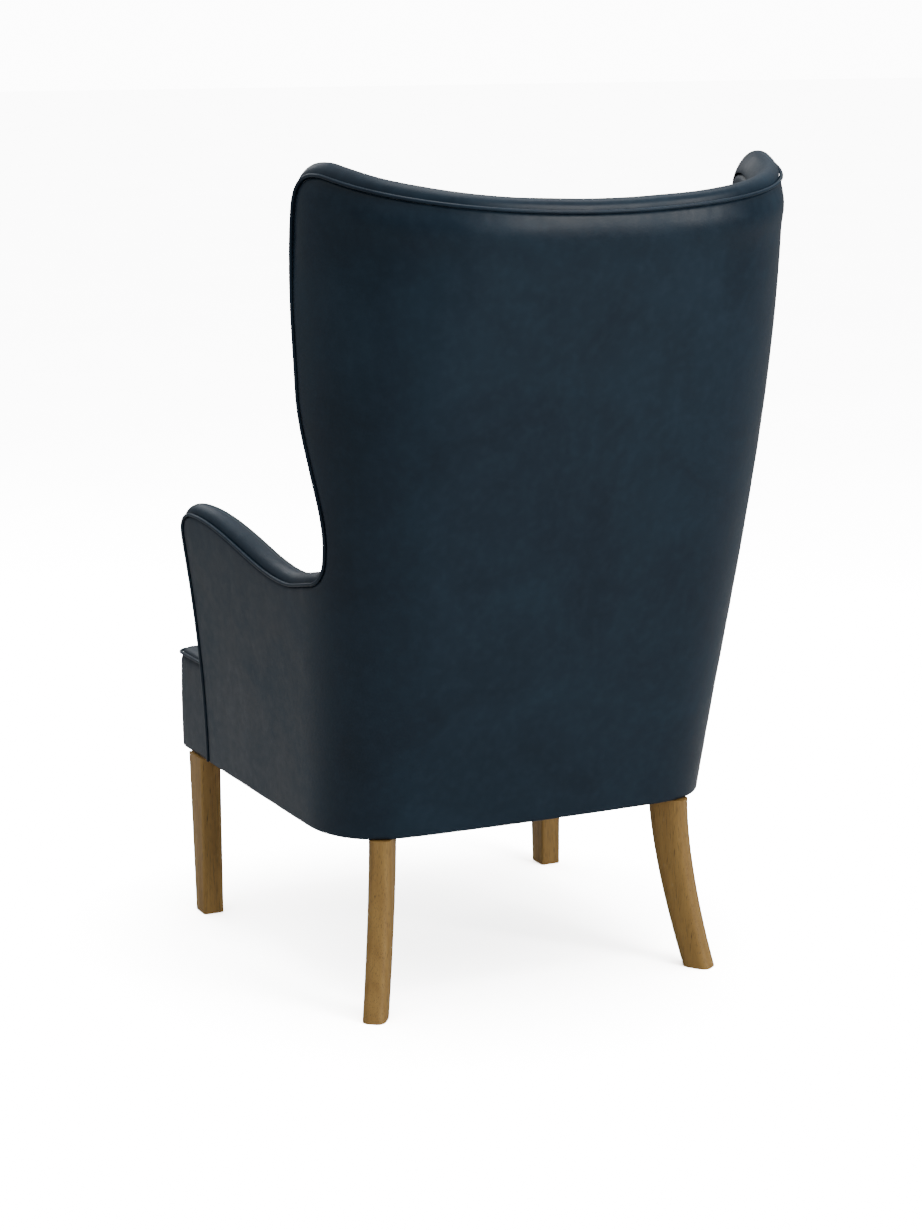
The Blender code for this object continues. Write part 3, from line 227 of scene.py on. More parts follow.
# ------------------------------------------------------------------ outside cover
# One hide, cut to a flat pattern and pulled round the outside of the back and both arms. It is
# tacked under the rails, and its other edges are sewn to the welt. The back rakes, the rear
# corners turn through a quarter circle, and the wings open out.
RIM_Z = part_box("outside_cover")[0].z     # underside of the shell
ARM_LOW_Z, ARM_TIP_Z = 0.563, 0.612      # arm seam: lowest point, front end
CENTRE_Z, PEAK_Z = 1.046, 1.089          # top seam: centre line, wing peaks
BACK_RIM_Y, BACK_TOP_Y = 0.206, 0.402    # centre back at the rim and at the peaks
BACK_SWELL = 0.010
HALF_RIM, HALF_TOP, SHOULDER = 0.293, 0.327, 0.0175
TURN_RIM, TURN_TOP = 0.203, 0.340        # girth that turns each rear corner
SIDE_RIM, SIDE_TOP = np.radians(89.5), np.radians(79.8)
BOW_RIM, BOW_TOP = 0.217, 0.606
ARM_FOOT_S, ARM_RAKE = 0.711, 0.050      # girth from the centre back to the front of the arm
ARM_LOW_S, NECK_S, WING_S, PEAK_S, SEAM_S = 0.440, 0.343, 0.449, 0.395, 0.194
ARM_S = ARM_FOOT_S + ARM_RAKE
SEAT_FRONT_Y = -0.386
SHIFT_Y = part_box("seat_border")[0].y - SEAT_FRONT_Y
LEATHER = 0.0018
WELT_R, WELT_DEPTH = 0.0024, 0.0012


def ease(t):
    t = np.clip(t, 0.0, 1.0)
    return t * t * (3 - 2 * t)


def plan_of(s, z):
    """Plan place (x, y) and heading of the outer face at girth s and height z."""
    s, z = np.broadcast_arrays(np.asarray(s, float), np.asarray(z, float))
    r = (z - RIM_Z) / (PEAK_Z - RIM_Z)
    half = HALF_RIM + (HALF_TOP - HALF_RIM) * r + SHOULDER * 6.75 * r * r * (1 - r)
    turn = TURN_RIM + (TURN_TOP - TURN_RIM) * r
    side = SIDE_RIM + (SIDE_TOP - SIDE_RIM) * r
    bow = BOW_RIM + (BOW_TOP - BOW_RIM) * r
    begin = half - 0.637 * turn

    def heading(girth):
        k = ease((girth - begin) / turn)
        return bow * np.minimum(girth, begin + turn) * (1 - k) + side * k

    girth = np.abs(s)
    x = np.zeros(s.shape)
    y = BACK_RIM_Y + (BACK_TOP_Y - BACK_RIM_Y) * r + 4 * BACK_SWELL * r * (1 - r)
    steps = 100
    for i in range(steps):
        h = heading(girth * (i + 0.5) / steps)
        x = x + np.cos(h) * girth / steps
        y = y - np.sin(h) * girth / steps
    return x, y, heading(girth)


def bend(s, z, depth=0.0):
    """Bend pattern points round the shell, at a depth under the outer face."""
    x, y, h = plan_of(s, z)
    side = np.where(np.asarray(s) < 0, -1.0, 1.0)
    return np.stack([side * (x - np.sin(h) * depth), y - np.cos(h) * depth + SHIFT_Y,
                     np.broadcast_to(z, x.shape) + 0.0 * x], axis=-1)


def front_s(z):
    return ARM_FOOT_S + ARM_RAKE * ((z - RIM_Z) / (ARM_TIP_Z - RIM_Z)) ** 2


def arm_z(s):
    ahead = ARM_LOW_Z + (ARM_TIP_Z - ARM_LOW_Z) * ease((s - ARM_LOW_S) / (ARM_S - 0.045 - ARM_LOW_S))
    behind = ARM_LOW_Z + 0.014 * ease((ARM_LOW_S - s) / (ARM_LOW_S - NECK_S))
    return np.where(s > ARM_LOW_S, ahead, behind)


NECK_Z = float(arm_z(NECK_S))


def wing_s(z):
    t = (z - NECK_Z) / (PEAK_Z - NECK_Z)
    return NECK_S + (WING_S - NECK_S) * (0.60 * ease((t - 0.08) / 0.40) + 0.40 * ease((t - 0.30) / 0.62))


def top_z(s):
    return PEAK_Z - (PEAK_Z - CENTRE_Z) * (1 - np.clip(np.abs(s) / PEAK_S, 0, 1) ** 2) ** 1.08


def run_length(line):
    return np.concatenate([[0], np.cumsum(np.linalg.norm(np.diff(line, axis=0), axis=1))])


def spaced(line, pitch):
    """The same line with points at an even pitch."""
    run = run_length(line)
    marks = np.linspace(0, run[-1], max(2, int(round(run[-1] / pitch)) + 1))
    return np.stack([np.interp(marks, run, line[:, k]) for k in range(line.shape[1])], axis=1)


def rounded(first, second, reach):
    """Join two lines that meet at a corner with a turn of the given reach."""
    corner = first[-1]
    run_a, run_b = run_length(first), run_length(second)
    a = first[run_a < run_a[-1] - reach]
    b = second[run_b > reach]
    p = np.array([np.interp(run_a[-1] - reach, run_a, first[:, k]) for k in (0, 1)])
    q = np.array([np.interp(reach, run_b, second[:, k]) for k in (0, 1)])
    t = np.linspace(0, 1, 25)[:, None]
    turn = (1 - t) ** 2 * p + 2 * t * (1 - t) * corner + t * t * q
    return np.vstack([a, turn]), b


rise = np.linspace(0, 1, 80)
front_edge = np.stack([front_s(RIM_Z + (ARM_TIP_Z - RIM_Z) * rise), RIM_Z + (ARM_TIP_Z - RIM_Z) * rise],
                      axis=1)
arm_edge = np.stack([ARM_S + (NECK_S - ARM_S) * rise, arm_z(ARM_S + (NECK_S - ARM_S) * rise)], axis=1)
wing_edge = np.stack([wing_s(NECK_Z + (PEAK_Z - NECK_Z) * rise), NECK_Z + (PEAK_Z - NECK_Z) * rise], axis=1)
top_edge = np.stack([WING_S * (1 - rise), top_z(WING_S * (1 - rise))], axis=1)
front_edge, arm_edge = rounded(front_edge, arm_edge, 0.046)
arm_edge, wing_edge = rounded(arm_edge, wing_edge, 0.034)
SPLIT_Z = float(wing_edge[0, 1])
wing_edge, top_edge = rounded(wing_edge, top_edge, 0.042)
SEAM_LINE = spaced(np.vstack([front_edge, arm_edge, wing_edge, top_edge]), 0.003)
SEAM_RUN = run_length(SEAM_LINE)
ahead = np.gradient(SEAM_LINE, axis=0)
ahead /= np.linalg.norm(ahead, axis=1)[:, None]
SEAM_OUT = np.stack([ahead[:, 1], -ahead[:, 0]], axis=1)
SEAM_OUT[0], SEAM_OUT[-1] = (1, 0), (0, 1)


def nearest(points, line):
    """Distance from each point to a close-set line, and the index of the nearest line point."""
    gap, index = np.empty(len(points)), np.empty(len(points), int)
    for i in range(0, len(points), 2000):
        d = np.linalg.norm(points[i:i + 2000, None] - line[None], axis=2)
        index[i:i + 2000] = d.argmin(axis=1)
        gap[i:i + 2000] = d.min(axis=1)
    return gap, index


def cut_sheet(outline, rows, pitch):
    """Flat triangles inside an outline: close rows along its edge, an even grid in the middle."""
    ahead = np.roll(outline, -1, axis=0) - np.roll(outline, 1, axis=0)
    ahead /= np.linalg.norm(ahead, axis=1)[:, None]
    area = np.sum(outline[:, 0] * np.roll(outline[:, 1], -1) - outline[:, 1] * np.roll(outline[:, 0], -1))
    inward = np.stack([-ahead[:, 1], ahead[:, 0]], axis=1) * np.sign(area)
    points = [outline]
    for row in rows:
        inner = outline + inward * row
        gap, _ = nearest(inner, outline)
        points.append(inner[gap > 0.92 * row])
    lo, hi = outline.min(axis=0), outline.max(axis=0)
    xs, ys = np.arange(lo[0], hi[0], pitch), np.arange(lo[1], hi[1], pitch * 0.866)
    grid = np.stack(np.meshgrid(xs, ys), axis=-1)
    grid[1::2, :, 0] += pitch / 2
    grid = grid.reshape(-1, 2)
    gap, index = nearest(grid, outline)
    inside = np.sum((grid - outline[index]) * inward[index], axis=1) > 0
    points.append(grid[inside & (gap > (rows[-1] if len(rows) else 0) + 0.6 * pitch)])
    flat = np.vstack(points)
    ring = [(i, (i + 1) % len(outline)) for i in range(len(outline))]
    made = geometry.delaunay_2d_cdt([Vector(p) for p in flat], ring, [], 1, 1e-6)
    return np.array([tuple(v) for v in made[0]]), [tuple(f) for f in made[2]]


def new_piece(name, points, faces, material, smooth=True):
    mesh = bpy.data.meshes.new(name)
    mesh.from_pydata([tuple(p) for p in points], [], faces)
    mesh.validate()
    mesh.materials.append(material)
    if smooth:
        mesh.shade_smooth()
    made = bpy.data.objects.new(name, mesh)
    bpy.context.scene.collection.objects.link(made)
    return made


def outwards(piece):
    """Turn the faces of a closed body outwards."""
    body = bmesh.new()
    body.from_mesh(piece.data)
    if body.calc_volume(signed=True) < 0:
        piece.data.flip_normals()
    body.free()
    return piece


def in_place(piece, slot, *nodes):
    """The piece rides with the chair and stands for these solids; slot is not used."""
    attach(piece, "root")
    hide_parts(*nodes)
    return piece


def ripple(points, size, seed):
    """Smooth noise from -1 to 1 at a given size in metres, the same at each run."""
    at = (np.asarray(points) / size + seed).tolist()
    return np.array([noise.noise(Vector(p)) for p in at])


# Hide: full-grain leather, dyed through, nearly black blue. Fine pebble, soft pull marks, mottled
# dye, and a thin wax finish that gives a broken sheen.
tree, given, out = new_group(
    "hide",
    [("Place", "Vector", None), ("Dye", "Color", (0.02, 0.03, 0.05, 1)),
     ("Worn Dye", "Color", (0.05, 0.07, 0.1, 1)),
     ("Pebble", "Float", 0.0011)],
    [("Colour", "Color"), ("Roughness", "Float"), ("Coat", "Float"), ("Grain", "Float"), ("Pull", "Float")])
cells = add_node(tree, "TexVoronoi", {"Vector": given["Place"], "Randomness": 1.0},
                 feature="DISTANCE_TO_EDGE")
tree.links.new(calc(tree, "DIVIDE", 1.0, given["Pebble"]), cells.inputs["Scale"])
pebble = span(tree, cells.outputs["Distance"], 0.0, 0.22)
hair = add_node(tree, "TexNoise", {"Vector": given["Place"], "Scale": 2600.0, "Detail": 2.0}).outputs["Fac"]
tree.links.new(calc(tree, "ADD", pebble, calc(tree, "MULTIPLY", hair, 0.5)), out["Grain"])
cloud = add_node(tree, "TexNoise",
                 {"Vector": given["Place"], "Scale": 7.0, "Detail": 5.0, "Roughness": 0.62,
                  "Distortion": 0.6}).outputs["Fac"]
fleck = add_node(tree, "TexNoise", {"Vector": given["Place"], "Scale": 75.0, "Detail": 4.0}).outputs["Fac"]
stretch = add_node(tree, "Mapping",
                   {"Vector": given["Place"], "Rotation": (0.2, 0.3, 0.4), "Scale": (1, 1, 0.8)})
pull = add_node(tree, "TexNoise",
                {"Vector": stretch.outputs[0], "Scale": 46.0, "Detail": 4.0, "Roughness": 0.5,
                 "Distortion": 0.8}).outputs["Fac"]
tree.links.new(pull, out["Pull"])
tone = calc(tree, "ADD", span(tree, cloud, 0.3, 0.72, 0.0, 0.75), span(tree, fleck, 0.45, 0.75, 0.0, 0.25))
tree.links.new(between(tree, tone, given["Dye"], given["Worn Dye"]), out["Colour"])
rough = calc(tree, "ADD", span(tree, fleck, 0.3, 0.7, 0.30, 0.40), span(tree, cloud, 0.3, 0.7, -0.03, 0.07))
tree.links.new(rough, out["Roughness"])
tree.links.new(span(tree, cloud, 0.3, 0.7, 0.15, 0.05), out["Coat"])

hide, tree, shader = new_material("dyed_hide", IOR=1.5, Specular_IOR_Level=0.20, Coat_Roughness=0.24,
                                  Coat_IOR=1.45)
skin = add_node(tree, "Group", node_tree=bpy.data.node_groups["hide"])
tree.links.new(add_node(tree, "TexCoord").outputs["Object"], skin.inputs["Place"])
skin.inputs["Dye"].default_value = (0.0080, 0.0185, 0.0330, 1)
skin.inputs["Worn Dye"].default_value = (0.0185, 0.0400, 0.0640, 1)
pull_bump = add_node(tree, "Bump", {"Strength": 0.26, "Distance": 0.0010, "Height": skin.outputs["Pull"]})
grain_bump = add_node(tree, "Bump", {"Strength": 0.30, "Distance": 0.00012, "Height": skin.outputs["Grain"],
                                     "Normal": pull_bump.outputs[0]})
tree.links.new(skin.outputs["Colour"], shader.inputs["Base Color"])
tree.links.new(skin.outputs["Roughness"], shader.inputs["Roughness"])
tree.links.new(skin.outputs["Coat"], shader.inputs["Coat Weight"])
tree.links.new(grain_bump.outputs[0], shader.inputs["Normal"])

SEAM_TUCK = 0.0056                       # the edge goes in this deep under the welt
COVER_GAP = 0.0004
edge = SEAM_LINE - SEAM_OUT * COVER_GAP
edge[0] = (edge[0, 0], RIM_Z)
half_edge = spaced(edge, 0.004)
rim = np.stack([np.linspace(-half_edge[0, 0], half_edge[0, 0], 361)[1:-1], np.full(359, RIM_Z)], axis=1)
outline = np.vstack([half_edge, (half_edge * (-1, 1))[-2::-1], rim])
flat, faces = cut_sheet(outline, (0.0014, 0.0028, 0.0046, 0.0070, 0.0110, 0.0170), 0.0075)
folded = np.stack([np.abs(flat[:, 0]), flat[:, 1]], axis=1)
gap, index = nearest(folded, edge)
near_top = ease((edge[index, 1] - 0.90) / 0.12)          # the top seam is stuffed fuller than the sides
sunk = SEAM_TUCK * np.exp(-(gap / 0.0020) ** 1.5)
sunk += 0.0042 * near_top * np.exp(-(gap / 0.016) ** 1.5)
sunk += 0.0006 * (1 - near_top) * np.exp(-gap / 0.012)
swell = 0.0036 * near_top * np.exp(-((gap - 0.032) / 0.022) ** 2)
swell *= ease((PEAK_S - 0.02 - folded[:, 0]) / 0.10)
swell *= 0.75 + 0.5 * np.abs(np.sin(flat[:, 0] * 7.5))
along = SEAM_RUN[index] * np.sign(flat[:, 0])
pucker = ripple(np.stack([along, gap * 0.25, 0 * gap], axis=1), 0.011, 3.1)
pucker *= 0.00055 * np.exp(-gap / 0.014) * (1 - np.exp(-gap / 0.002)) * (0.45 + 0.55 * near_top)
pad3 = np.stack([flat[:, 0], flat[:, 1], 0 * gap], axis=1)
wave = 0.0007 * ripple(pad3, 0.085, 7.7) * near_top + 0.00035 * ripple(pad3, 0.036, 1.3)
rim_roll = 0.0045 * (1 - np.sqrt(1 - np.clip(1 - (flat[:, 1] - RIM_Z) / 0.0045, 0, 1) ** 2))
depth = sunk - swell + pucker - wave * (1 - np.exp(-gap / 0.015)) + rim_roll
cover = new_piece("outside_cover_hide", bend(flat[:, 0], flat[:, 1], depth), [f[::-1] for f in faces], hide)
thick = cover.modifiers.new("hide_thickness", "SOLIDIFY")
thick.thickness, thick.offset = LEATHER, -1.0
in_place(cover, "leather", "outside_cover")


# ------------------------------------------------------------------ inside covers and their stuffing
# Hair and cotton felt are laid over the straps and rails, thickest in the small of the back. The
# inside back is one panel, with an arm panel and a wing panel at each side. Each is drawn tight
# over its stuffing and sewn to its neighbours, and it swells between its seams.
WING_BAND, ARM_BAND = 0.045, 0.057
BACK_PAD, SIDE_PAD = 0.038, 0.011
BAND_DROP = 0.014
STRAP_T = 0.0016
BOARD_T = 0.024                          # thickness of the carcass timber
BOARD_FACE = LEATHER + 0.0012 + BOARD_T  # inner face of the carcass, under the outer face
STUFFING_BACK = BOARD_FACE + STRAP_T + 0.0014
RAIL_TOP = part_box("seat_rail_front")[1].z
PANEL_FOOT = RAIL_TOP + 0.0074           # inside covers are pulled down to the top of the rails


def panel_depth(s, z):
    """Depth of the inside covers under the outer face, before they swell."""
    s = np.abs(s)
    arm = ease((s - 0.20) / 0.12) * ease((SPLIT_Z + 0.06 - z) / 0.08)
    edge = WING_BAND + (ARM_BAND - WING_BAND) * arm
    pad = SIDE_PAD + (BACK_PAD - SIDE_PAD) * ease((SEAM_S + 0.05 - s) / 0.14)
    gap, _ = nearest(np.stack([s, z], axis=1), SEAM_LINE)
    return edge + pad * ease(gap / 0.075)


felt, tree, shader = new_material("cotton_felt", Roughness=0.95, Sheen_Weight=0.3, IOR=1.4)
place = add_node(tree, "TexCoord").outputs["Object"]
tuft = add_node(tree, "TexNoise",
                {"Vector": place, "Scale": 60.0, "Detail": 6.0, "Roughness": 0.7}).outputs["Fac"]
fibre = add_node(tree, "TexNoise",
                 {"Vector": place, "Scale": 900.0, "Detail": 3.0, "Distortion": 2.0}).outputs["Fac"]
tree.links.new(between(tree, tuft, (0.55, 0.50, 0.40, 1), (0.82, 0.79, 0.70, 1)),
               shader.inputs["Base Color"])
bump = add_node(tree, "Bump",
                {"Strength": 0.6, "Distance": 0.0015, "Height": calc(tree, "ADD", tuft, fibre)})
tree.links.new(bump.outputs[0], shader.inputs["Normal"])


def swollen(piece, held, pressure, most):
    """Blow a tacked sheet out over its stuffing as cloth, held where told, and cap how far it goes."""
    rest = np.array([v.co for v in piece.data.vertices])
    tacks = piece.vertex_groups.new(name="tacks")
    tacks.add([int(i) for i in np.flatnonzero(held)], 1.0, "REPLACE")
    cloth = piece.modifiers.new("stuffing", "CLOTH")
    how = cloth.settings
    how.quality, how.mass = 6, 0.5
    how.tension_stiffness = how.compression_stiffness = 25
    how.shear_stiffness, how.bending_stiffness = 12, 2.0
    how.use_pressure, how.uniform_pressure_force = True, pressure
    how.vertex_group_mass, how.pin_stiffness = "tacks", 1.0
    how.effector_weights.gravity = 0.0
    cloth.collision_settings.use_collision = cloth.collision_settings.use_self_collision = False
    cloth.point_cache.frame_start, cloth.point_cache.frame_end = 1, 20
    for moment in range(1, 21):
        bpy.context.scene.frame_set(moment)
    shape = piece.evaluated_get(bpy.context.evaluated_depsgraph_get()).data
    moved = np.array([v.co for v in shape.vertices]) - rest
    piece.modifiers.clear()
    bpy.context.scene.frame_set(1)
    far = np.linalg.norm(moved, axis=1)[:, None]
    moved *= most * np.tanh(far / most) / np.maximum(far, 1e-9)
    piece.data.vertices.foreach_set("co", (rest + moved).astype(np.float32).ravel())
    piece.data.update()


def edge_loop(faces):
    """The open edges of a sheet, each in the direction its face runs."""
    seen = {}
    for face in faces:
        for a, b in zip(face, face[1:] + face[:1]):
            seen[a, b] = True
    return [pair for pair in seen if pair[::-1] not in seen]


def stuffing_for(cover, back, faces, slip):
    """Felt body between a cover and the carcass: the cover's own shape drawn back, and a back face."""
    mesh = cover.data
    front = np.array([v.co - v.normal * slip for v in mesh.vertices])
    n = len(front)
    shut = [tuple(f) for f in faces] + [tuple(i + n for i in f[::-1]) for f in faces]
    shut += [(b, a, a + n, b + n) for a, b in edge_loop([tuple(f) for f in faces])]
    return new_piece(cover.name.replace("leather", "felt"), np.vstack([front, back]), shut, felt)


PART_GAP = -0.0003
SPLIT_RUN = float(SEAM_RUN[np.argmax((SEAM_LINE[:, 1] > SPLIT_Z) & (SEAM_LINE[:, 0] < NECK_S + 0.03))])
inner_edge = SEAM_LINE - SEAM_OUT * (BAND_DROP + 0.0006)
on_arm, on_wing = SEAM_RUN < SPLIT_RUN, SEAM_RUN >= SPLIT_RUN


def panel_shape(top_line, *corners):
    """A shut outline: a stretch of the upper edge, then straight seams through the corners."""
    line = spaced(top_line, 0.005)
    for corner in [*corners, tuple(line[0])]:
        line = np.vstack([line, spaced(np.array([line[-1], corner]), 0.005)[1:]])
    return line[:-1]


arm_top = inner_edge[on_arm & (inner_edge[:, 1] > PANEL_FOOT) & (SEAM_RUN < SPLIT_RUN - 0.006)]
wing_top = inner_edge[on_wing & (inner_edge[:, 1] > SPLIT_Z + PART_GAP)
                      & (inner_edge[:, 0] > SEAM_S + PART_GAP)]
half_back = inner_edge[on_wing & (inner_edge[:, 1] > 0.95) & (inner_edge[:, 0] < SEAM_S - PART_GAP)]
seam_in, seam_out = SEAM_S + PART_GAP, SEAM_S - PART_GAP
arm_shape = panel_shape(arm_top, (arm_top[-1, 0], SPLIT_Z - PART_GAP), (seam_in, SPLIT_Z - PART_GAP),
                        (seam_in, PANEL_FOOT), (arm_top[0, 0], PANEL_FOOT))
wing_shape = panel_shape(wing_top, (seam_in, wing_top[-1, 1]), (seam_in, SPLIT_Z + PART_GAP),
                         (wing_top[0, 0], SPLIT_Z + PART_GAP))
back_shape = panel_shape(np.vstack([half_back * (-1, 1), half_back[::-1]])[::-1],
                         (-seam_out, half_back[0, 1]), (-seam_out, PANEL_FOOT), (seam_out, PANEL_FOOT))


def inside_panel(name, shape, pressure, most, nodes, ready=None):
    """One inside cover with its felt, from its flat shape, or mirrored from one that is ready."""
    if ready is None:
        flat, faces = cut_sheet(shape, (0.002, 0.005, 0.009), 0.0085)
        gap, index = nearest(flat, shape)
        along = run_length(shape)[index]
        gather = ripple(np.stack([along, gap * 0.2, 0 * gap], axis=1), 0.014, 5.5)
        dip = 0.0045 * np.exp(-((gap / 0.0026) ** 1.2))
        dip += 0.0007 * gather * np.exp(-gap / 0.012) * (1 - np.exp(-gap / 0.002))
        depth = panel_depth(flat[:, 0], flat[:, 1]) - dip
        points = bend(flat[:, 0], flat[:, 1], depth)
        back = bend(flat[:, 0], flat[:, 1], np.minimum(STUFFING_BACK, depth - 0.004))
        cover = new_piece(name + "_leather", points, faces, hide)
        swollen(cover, gap < 0.0025, pressure, most)
    else:
        source, back, faces = ready
        points = np.array([v.co for v in source.data.vertices]) * (-1, 1, 1)
        back, faces = back * (-1, 1, 1), [tuple(f[::-1]) for f in faces]
        cover = new_piece(name + "_leather", points, faces, hide)
    stuffing = stuffing_for(cover, back, faces, LEATHER + 0.0006)
    in_place(cover, "leather", nodes[0])
    in_place(stuffing, "padding", nodes[1])
    return cover, back, faces


inside_panel("inside_back", back_shape, 3.0, 0.007, ("inside_back_cover", "back_padding"))
for part, shape in (("arm", arm_shape), ("wing", wing_shape)):
    left = inside_panel("inside_%s_left" % part, shape, 2.5, 0.005,
                        ("inside_%s_cover_left" % part, part + "_padding_left"))
    inside_panel("inside_%s_right" % part, shape, 2.5, 0.005,
                 ("inside_%s_cover_right" % part, part + "_padding_right"), left)


# ------------------------------------------------------------------ facings
# Stuffed strips close the edge between the outside and the inside covers: one over the top and
# down both wings, and one on each arm. They are domed, fuller towards the outside, and gathered a
# little where the edge turns.
BAND_DOME, BAND_APEX = 0.0145, 0.40
smooth_ahead = np.gradient(SEAM_LINE, axis=0)
angle = np.unwrap(np.arctan2(smooth_ahead[:, 1], smooth_ahead[:, 0]))
turning = np.abs(np.gradient(angle, SEAM_RUN)) * 0.030   # about 1 where the edge turns in 30 mm


def strip(marks, shut_ends):
    """Points across a facing for a run of seam marks: rows along the seam, 27 places across."""
    across = 0.5 - 0.5 * np.cos(np.pi * np.linspace(0, 1, 27))
    s0, z0 = SEAM_LINE[marks].T
    out = SEAM_OUT[marks]
    start = 0.0034
    wide = panel_depth(s0, z0) - 0.0006
    f = np.broadcast_to(across, (len(marks), 27))
    warped = f ** (1 / (1 + 2 * (0.5 - BAND_APEX)))
    hump = np.sin(np.pi * np.clip(warped, 0, 1)) ** 0.75
    run = SEAM_RUN[marks]
    for end, shut in zip((run[0], run[-1]), shut_ends):
        if shut:
            hump = hump * (1 - 0.35 * np.exp(-np.abs(run - end) / 0.003))[:, None]
    flow = np.stack([np.broadcast_to(run[:, None], f.shape), f * 0.05, 0 * f], axis=-1).reshape(-1, 3)
    fold = ripple(flow, 0.012, 9.4).reshape(f.shape) * (0.25 + np.clip(turning[marks], 0, 1.2))[:, None]
    slow = ripple(flow, 0.060, 2.2).reshape(f.shape)
    rim = np.exp(-f / 0.22) + np.exp(-(1 - f) / 0.22)
    lift = -0.0004 + 0.0016 * ease(f / 0.06) + (BAND_DOME + 0.4 * BAND_DROP) * hump - BAND_DROP * f
    lift = lift + hump * (0.0009 * fold * rim + 0.0006 * slow)
    depth = start + (wide[:, None] - start) * f + 0.0014 * ease((z0 - 0.90) / 0.12)[:, None] * (1 - f)
    s = s0[:, None] + out[:, :1] * lift
    z = z0[:, None] + out[:, 1:] * lift
    return s, z, depth


def quads(rows, wide, closed=False):
    """Faces between neighbouring rows of points; closed joins the end of each row to its start."""
    return [(i * wide + j, i * wide + (j + 1) % wide, (i + 1) * wide + (j + 1) % wide, (i + 1) * wide + j)
            for i in range(rows - 1) for j in range(wide - (not closed))]


def facing(name, s, z, depth, nodes):
    """Skin the strip and shut it under the leather, so that it is a stuffed body."""
    rows, wide = s.shape
    top = bend(s.ravel(), z.ravel(), depth.ravel())
    faces = quads(rows, wide)
    faces += [((i + 1) * wide, (i + 1) * wide + wide - 1, i * wide + wide - 1, i * wide)
              for i in range(rows - 1)]
    faces += [tuple(range(wide))[::-1], tuple((rows - 1) * wide + j for j in range(wide))]
    made = outwards(new_piece(name, top, faces, hide))
    made.data.set_sharp_from_angle(angle=np.radians(60))
    in_place(made, "leather", *nodes)
    return made


ARM_FACING_FOOT = RAIL_TOP + 0.0008
SEAT_MEETS_ARM = 0.378                   # height at which the seat's edge runs into the arm facing
above_foot = (SEAM_LINE[:, 1] > ARM_FACING_FOOT) | (SEAM_LINE[:, 0] < ARM_FOOT_S - 0.05)
marks = np.flatnonzero((SEAM_RUN < SPLIT_RUN + 0.002) & above_foot)
s, z, depth = strip(marks, (False, True))
facing("arm_facing_left_leather", s, z, depth, ["arm_facing_left"])
# plan of the facing where the seat meets it
at_seat = np.argmax(SEAM_LINE[marks, 1] > SEAT_MEETS_ARM)
arm_front = bend(s[at_seat], z[at_seat], depth[at_seat])[::-1]
facing("arm_facing_right_leather", -s[::-1], z[::-1], depth[::-1], ["arm_facing_right"])
s, z, depth = strip(np.flatnonzero(on_wing), (True, False))
facing("top_facing_leather", np.vstack([s, -s[-2::-1]]), np.vstack([z, z[-2::-1]]),
       np.vstack([depth, depth[-2::-1]]), ["top_facing"])


# ------------------------------------------------------------------ shell welt
# A 5 mm piping of the same hide over a soft cord. It is sewn between the outside cover and the
# facings, from one arm foot over the wings and the top to the other.
def piping(name, line, radius, node):
    """A sewn tube along a close-set line: slightly uneven, with small pinches at the stitches."""
    count, sides = len(line), 10
    along = np.gradient(line, axis=0)
    along /= np.linalg.norm(along, axis=1)[:, None]
    side = np.cross(along, (0, 0, 1.0))
    for i in range(1, count):                # carry the first side vector along, with no twist
        side[i] = side[i - 1] - along[i] * np.dot(side[i - 1], along[i])
        side[i] /= np.linalg.norm(side[i])
    up = np.cross(along, side)
    run = run_length(line)
    turn = np.linspace(0, 2 * np.pi, sides, endpoint=False)
    pinch = 1 + 0.035 * np.cos(2 * np.pi * run / 0.0045) + 0.05 * ripple(np.outer(run, (1, 0, 0)), 0.013, 4.4)
    ring = side[:, None] * np.cos(turn)[:, None] + up[:, None] * np.sin(turn)[:, None]
    points = line[:, None] + ring * (radius * pinch)[:, None, None]
    faces = quads(count, sides, True)
    faces += [tuple(range(sides))[::-1], tuple((count - 1) * sides + j for j in range(sides))]
    return in_place(outwards(new_piece(name, points.reshape(-1, 3), faces, hide)), "leather", node)


marks = SEAM_LINE + SEAM_OUT * 0.0004
top_near = ease((marks[:, 1] - 0.90) / 0.12)
half = bend(marks[:, 0], marks[:, 1], WELT_DEPTH * 0.6 + 0.0016 * top_near)
half[0, 2] += 0.001
line = spaced(np.vstack([half, (half * (-1, 1, 1))[-2::-1]]), 0.0016)
piping("shell_welt_leather", line, WELT_R, "shell_welt")


# ------------------------------------------------------------------ seat
# A tight seat: hessian over the springs, a block of hair and felt, and one leather top cut in a T,
# so that its ears fill the space ahead of the arms. Its edge is sewn to a welt above the border.
SEAT_EDGE_Z, SEAT_CROWN, SEAT_BORDER_R = 0.380, 0.020, 0.022
EAR_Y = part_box("seat_border")[1].y
ARM_FRONT_Y = arm_front[:, 1].min() - 0.0008
BORDER_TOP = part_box("seat_border")[1].z
BORDER_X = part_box("seat_border")[1].x
FRONT_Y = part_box("seat_border")[0].y
BORDER_SKIN = LEATHER + 0.0016


def ear_turn(skin):
    """Half the plan line of the border, from the ear's rear end round to the centre front."""
    radius = SEAT_BORDER_R - skin
    turn = np.linspace(0, np.pi / 2, 24)
    x = BORDER_X - skin - radius + radius * np.cos(turn)
    y = FRONT_Y + skin + radius - radius * np.sin(turn)
    start = [(BORDER_X - 0.001 - skin, EAR_Y + 0.004), (BORDER_X - 0.001 - skin, EAR_Y)]
    return np.vstack([start, np.stack([x, y], axis=1), [(0.0, FRONT_Y + skin)]])


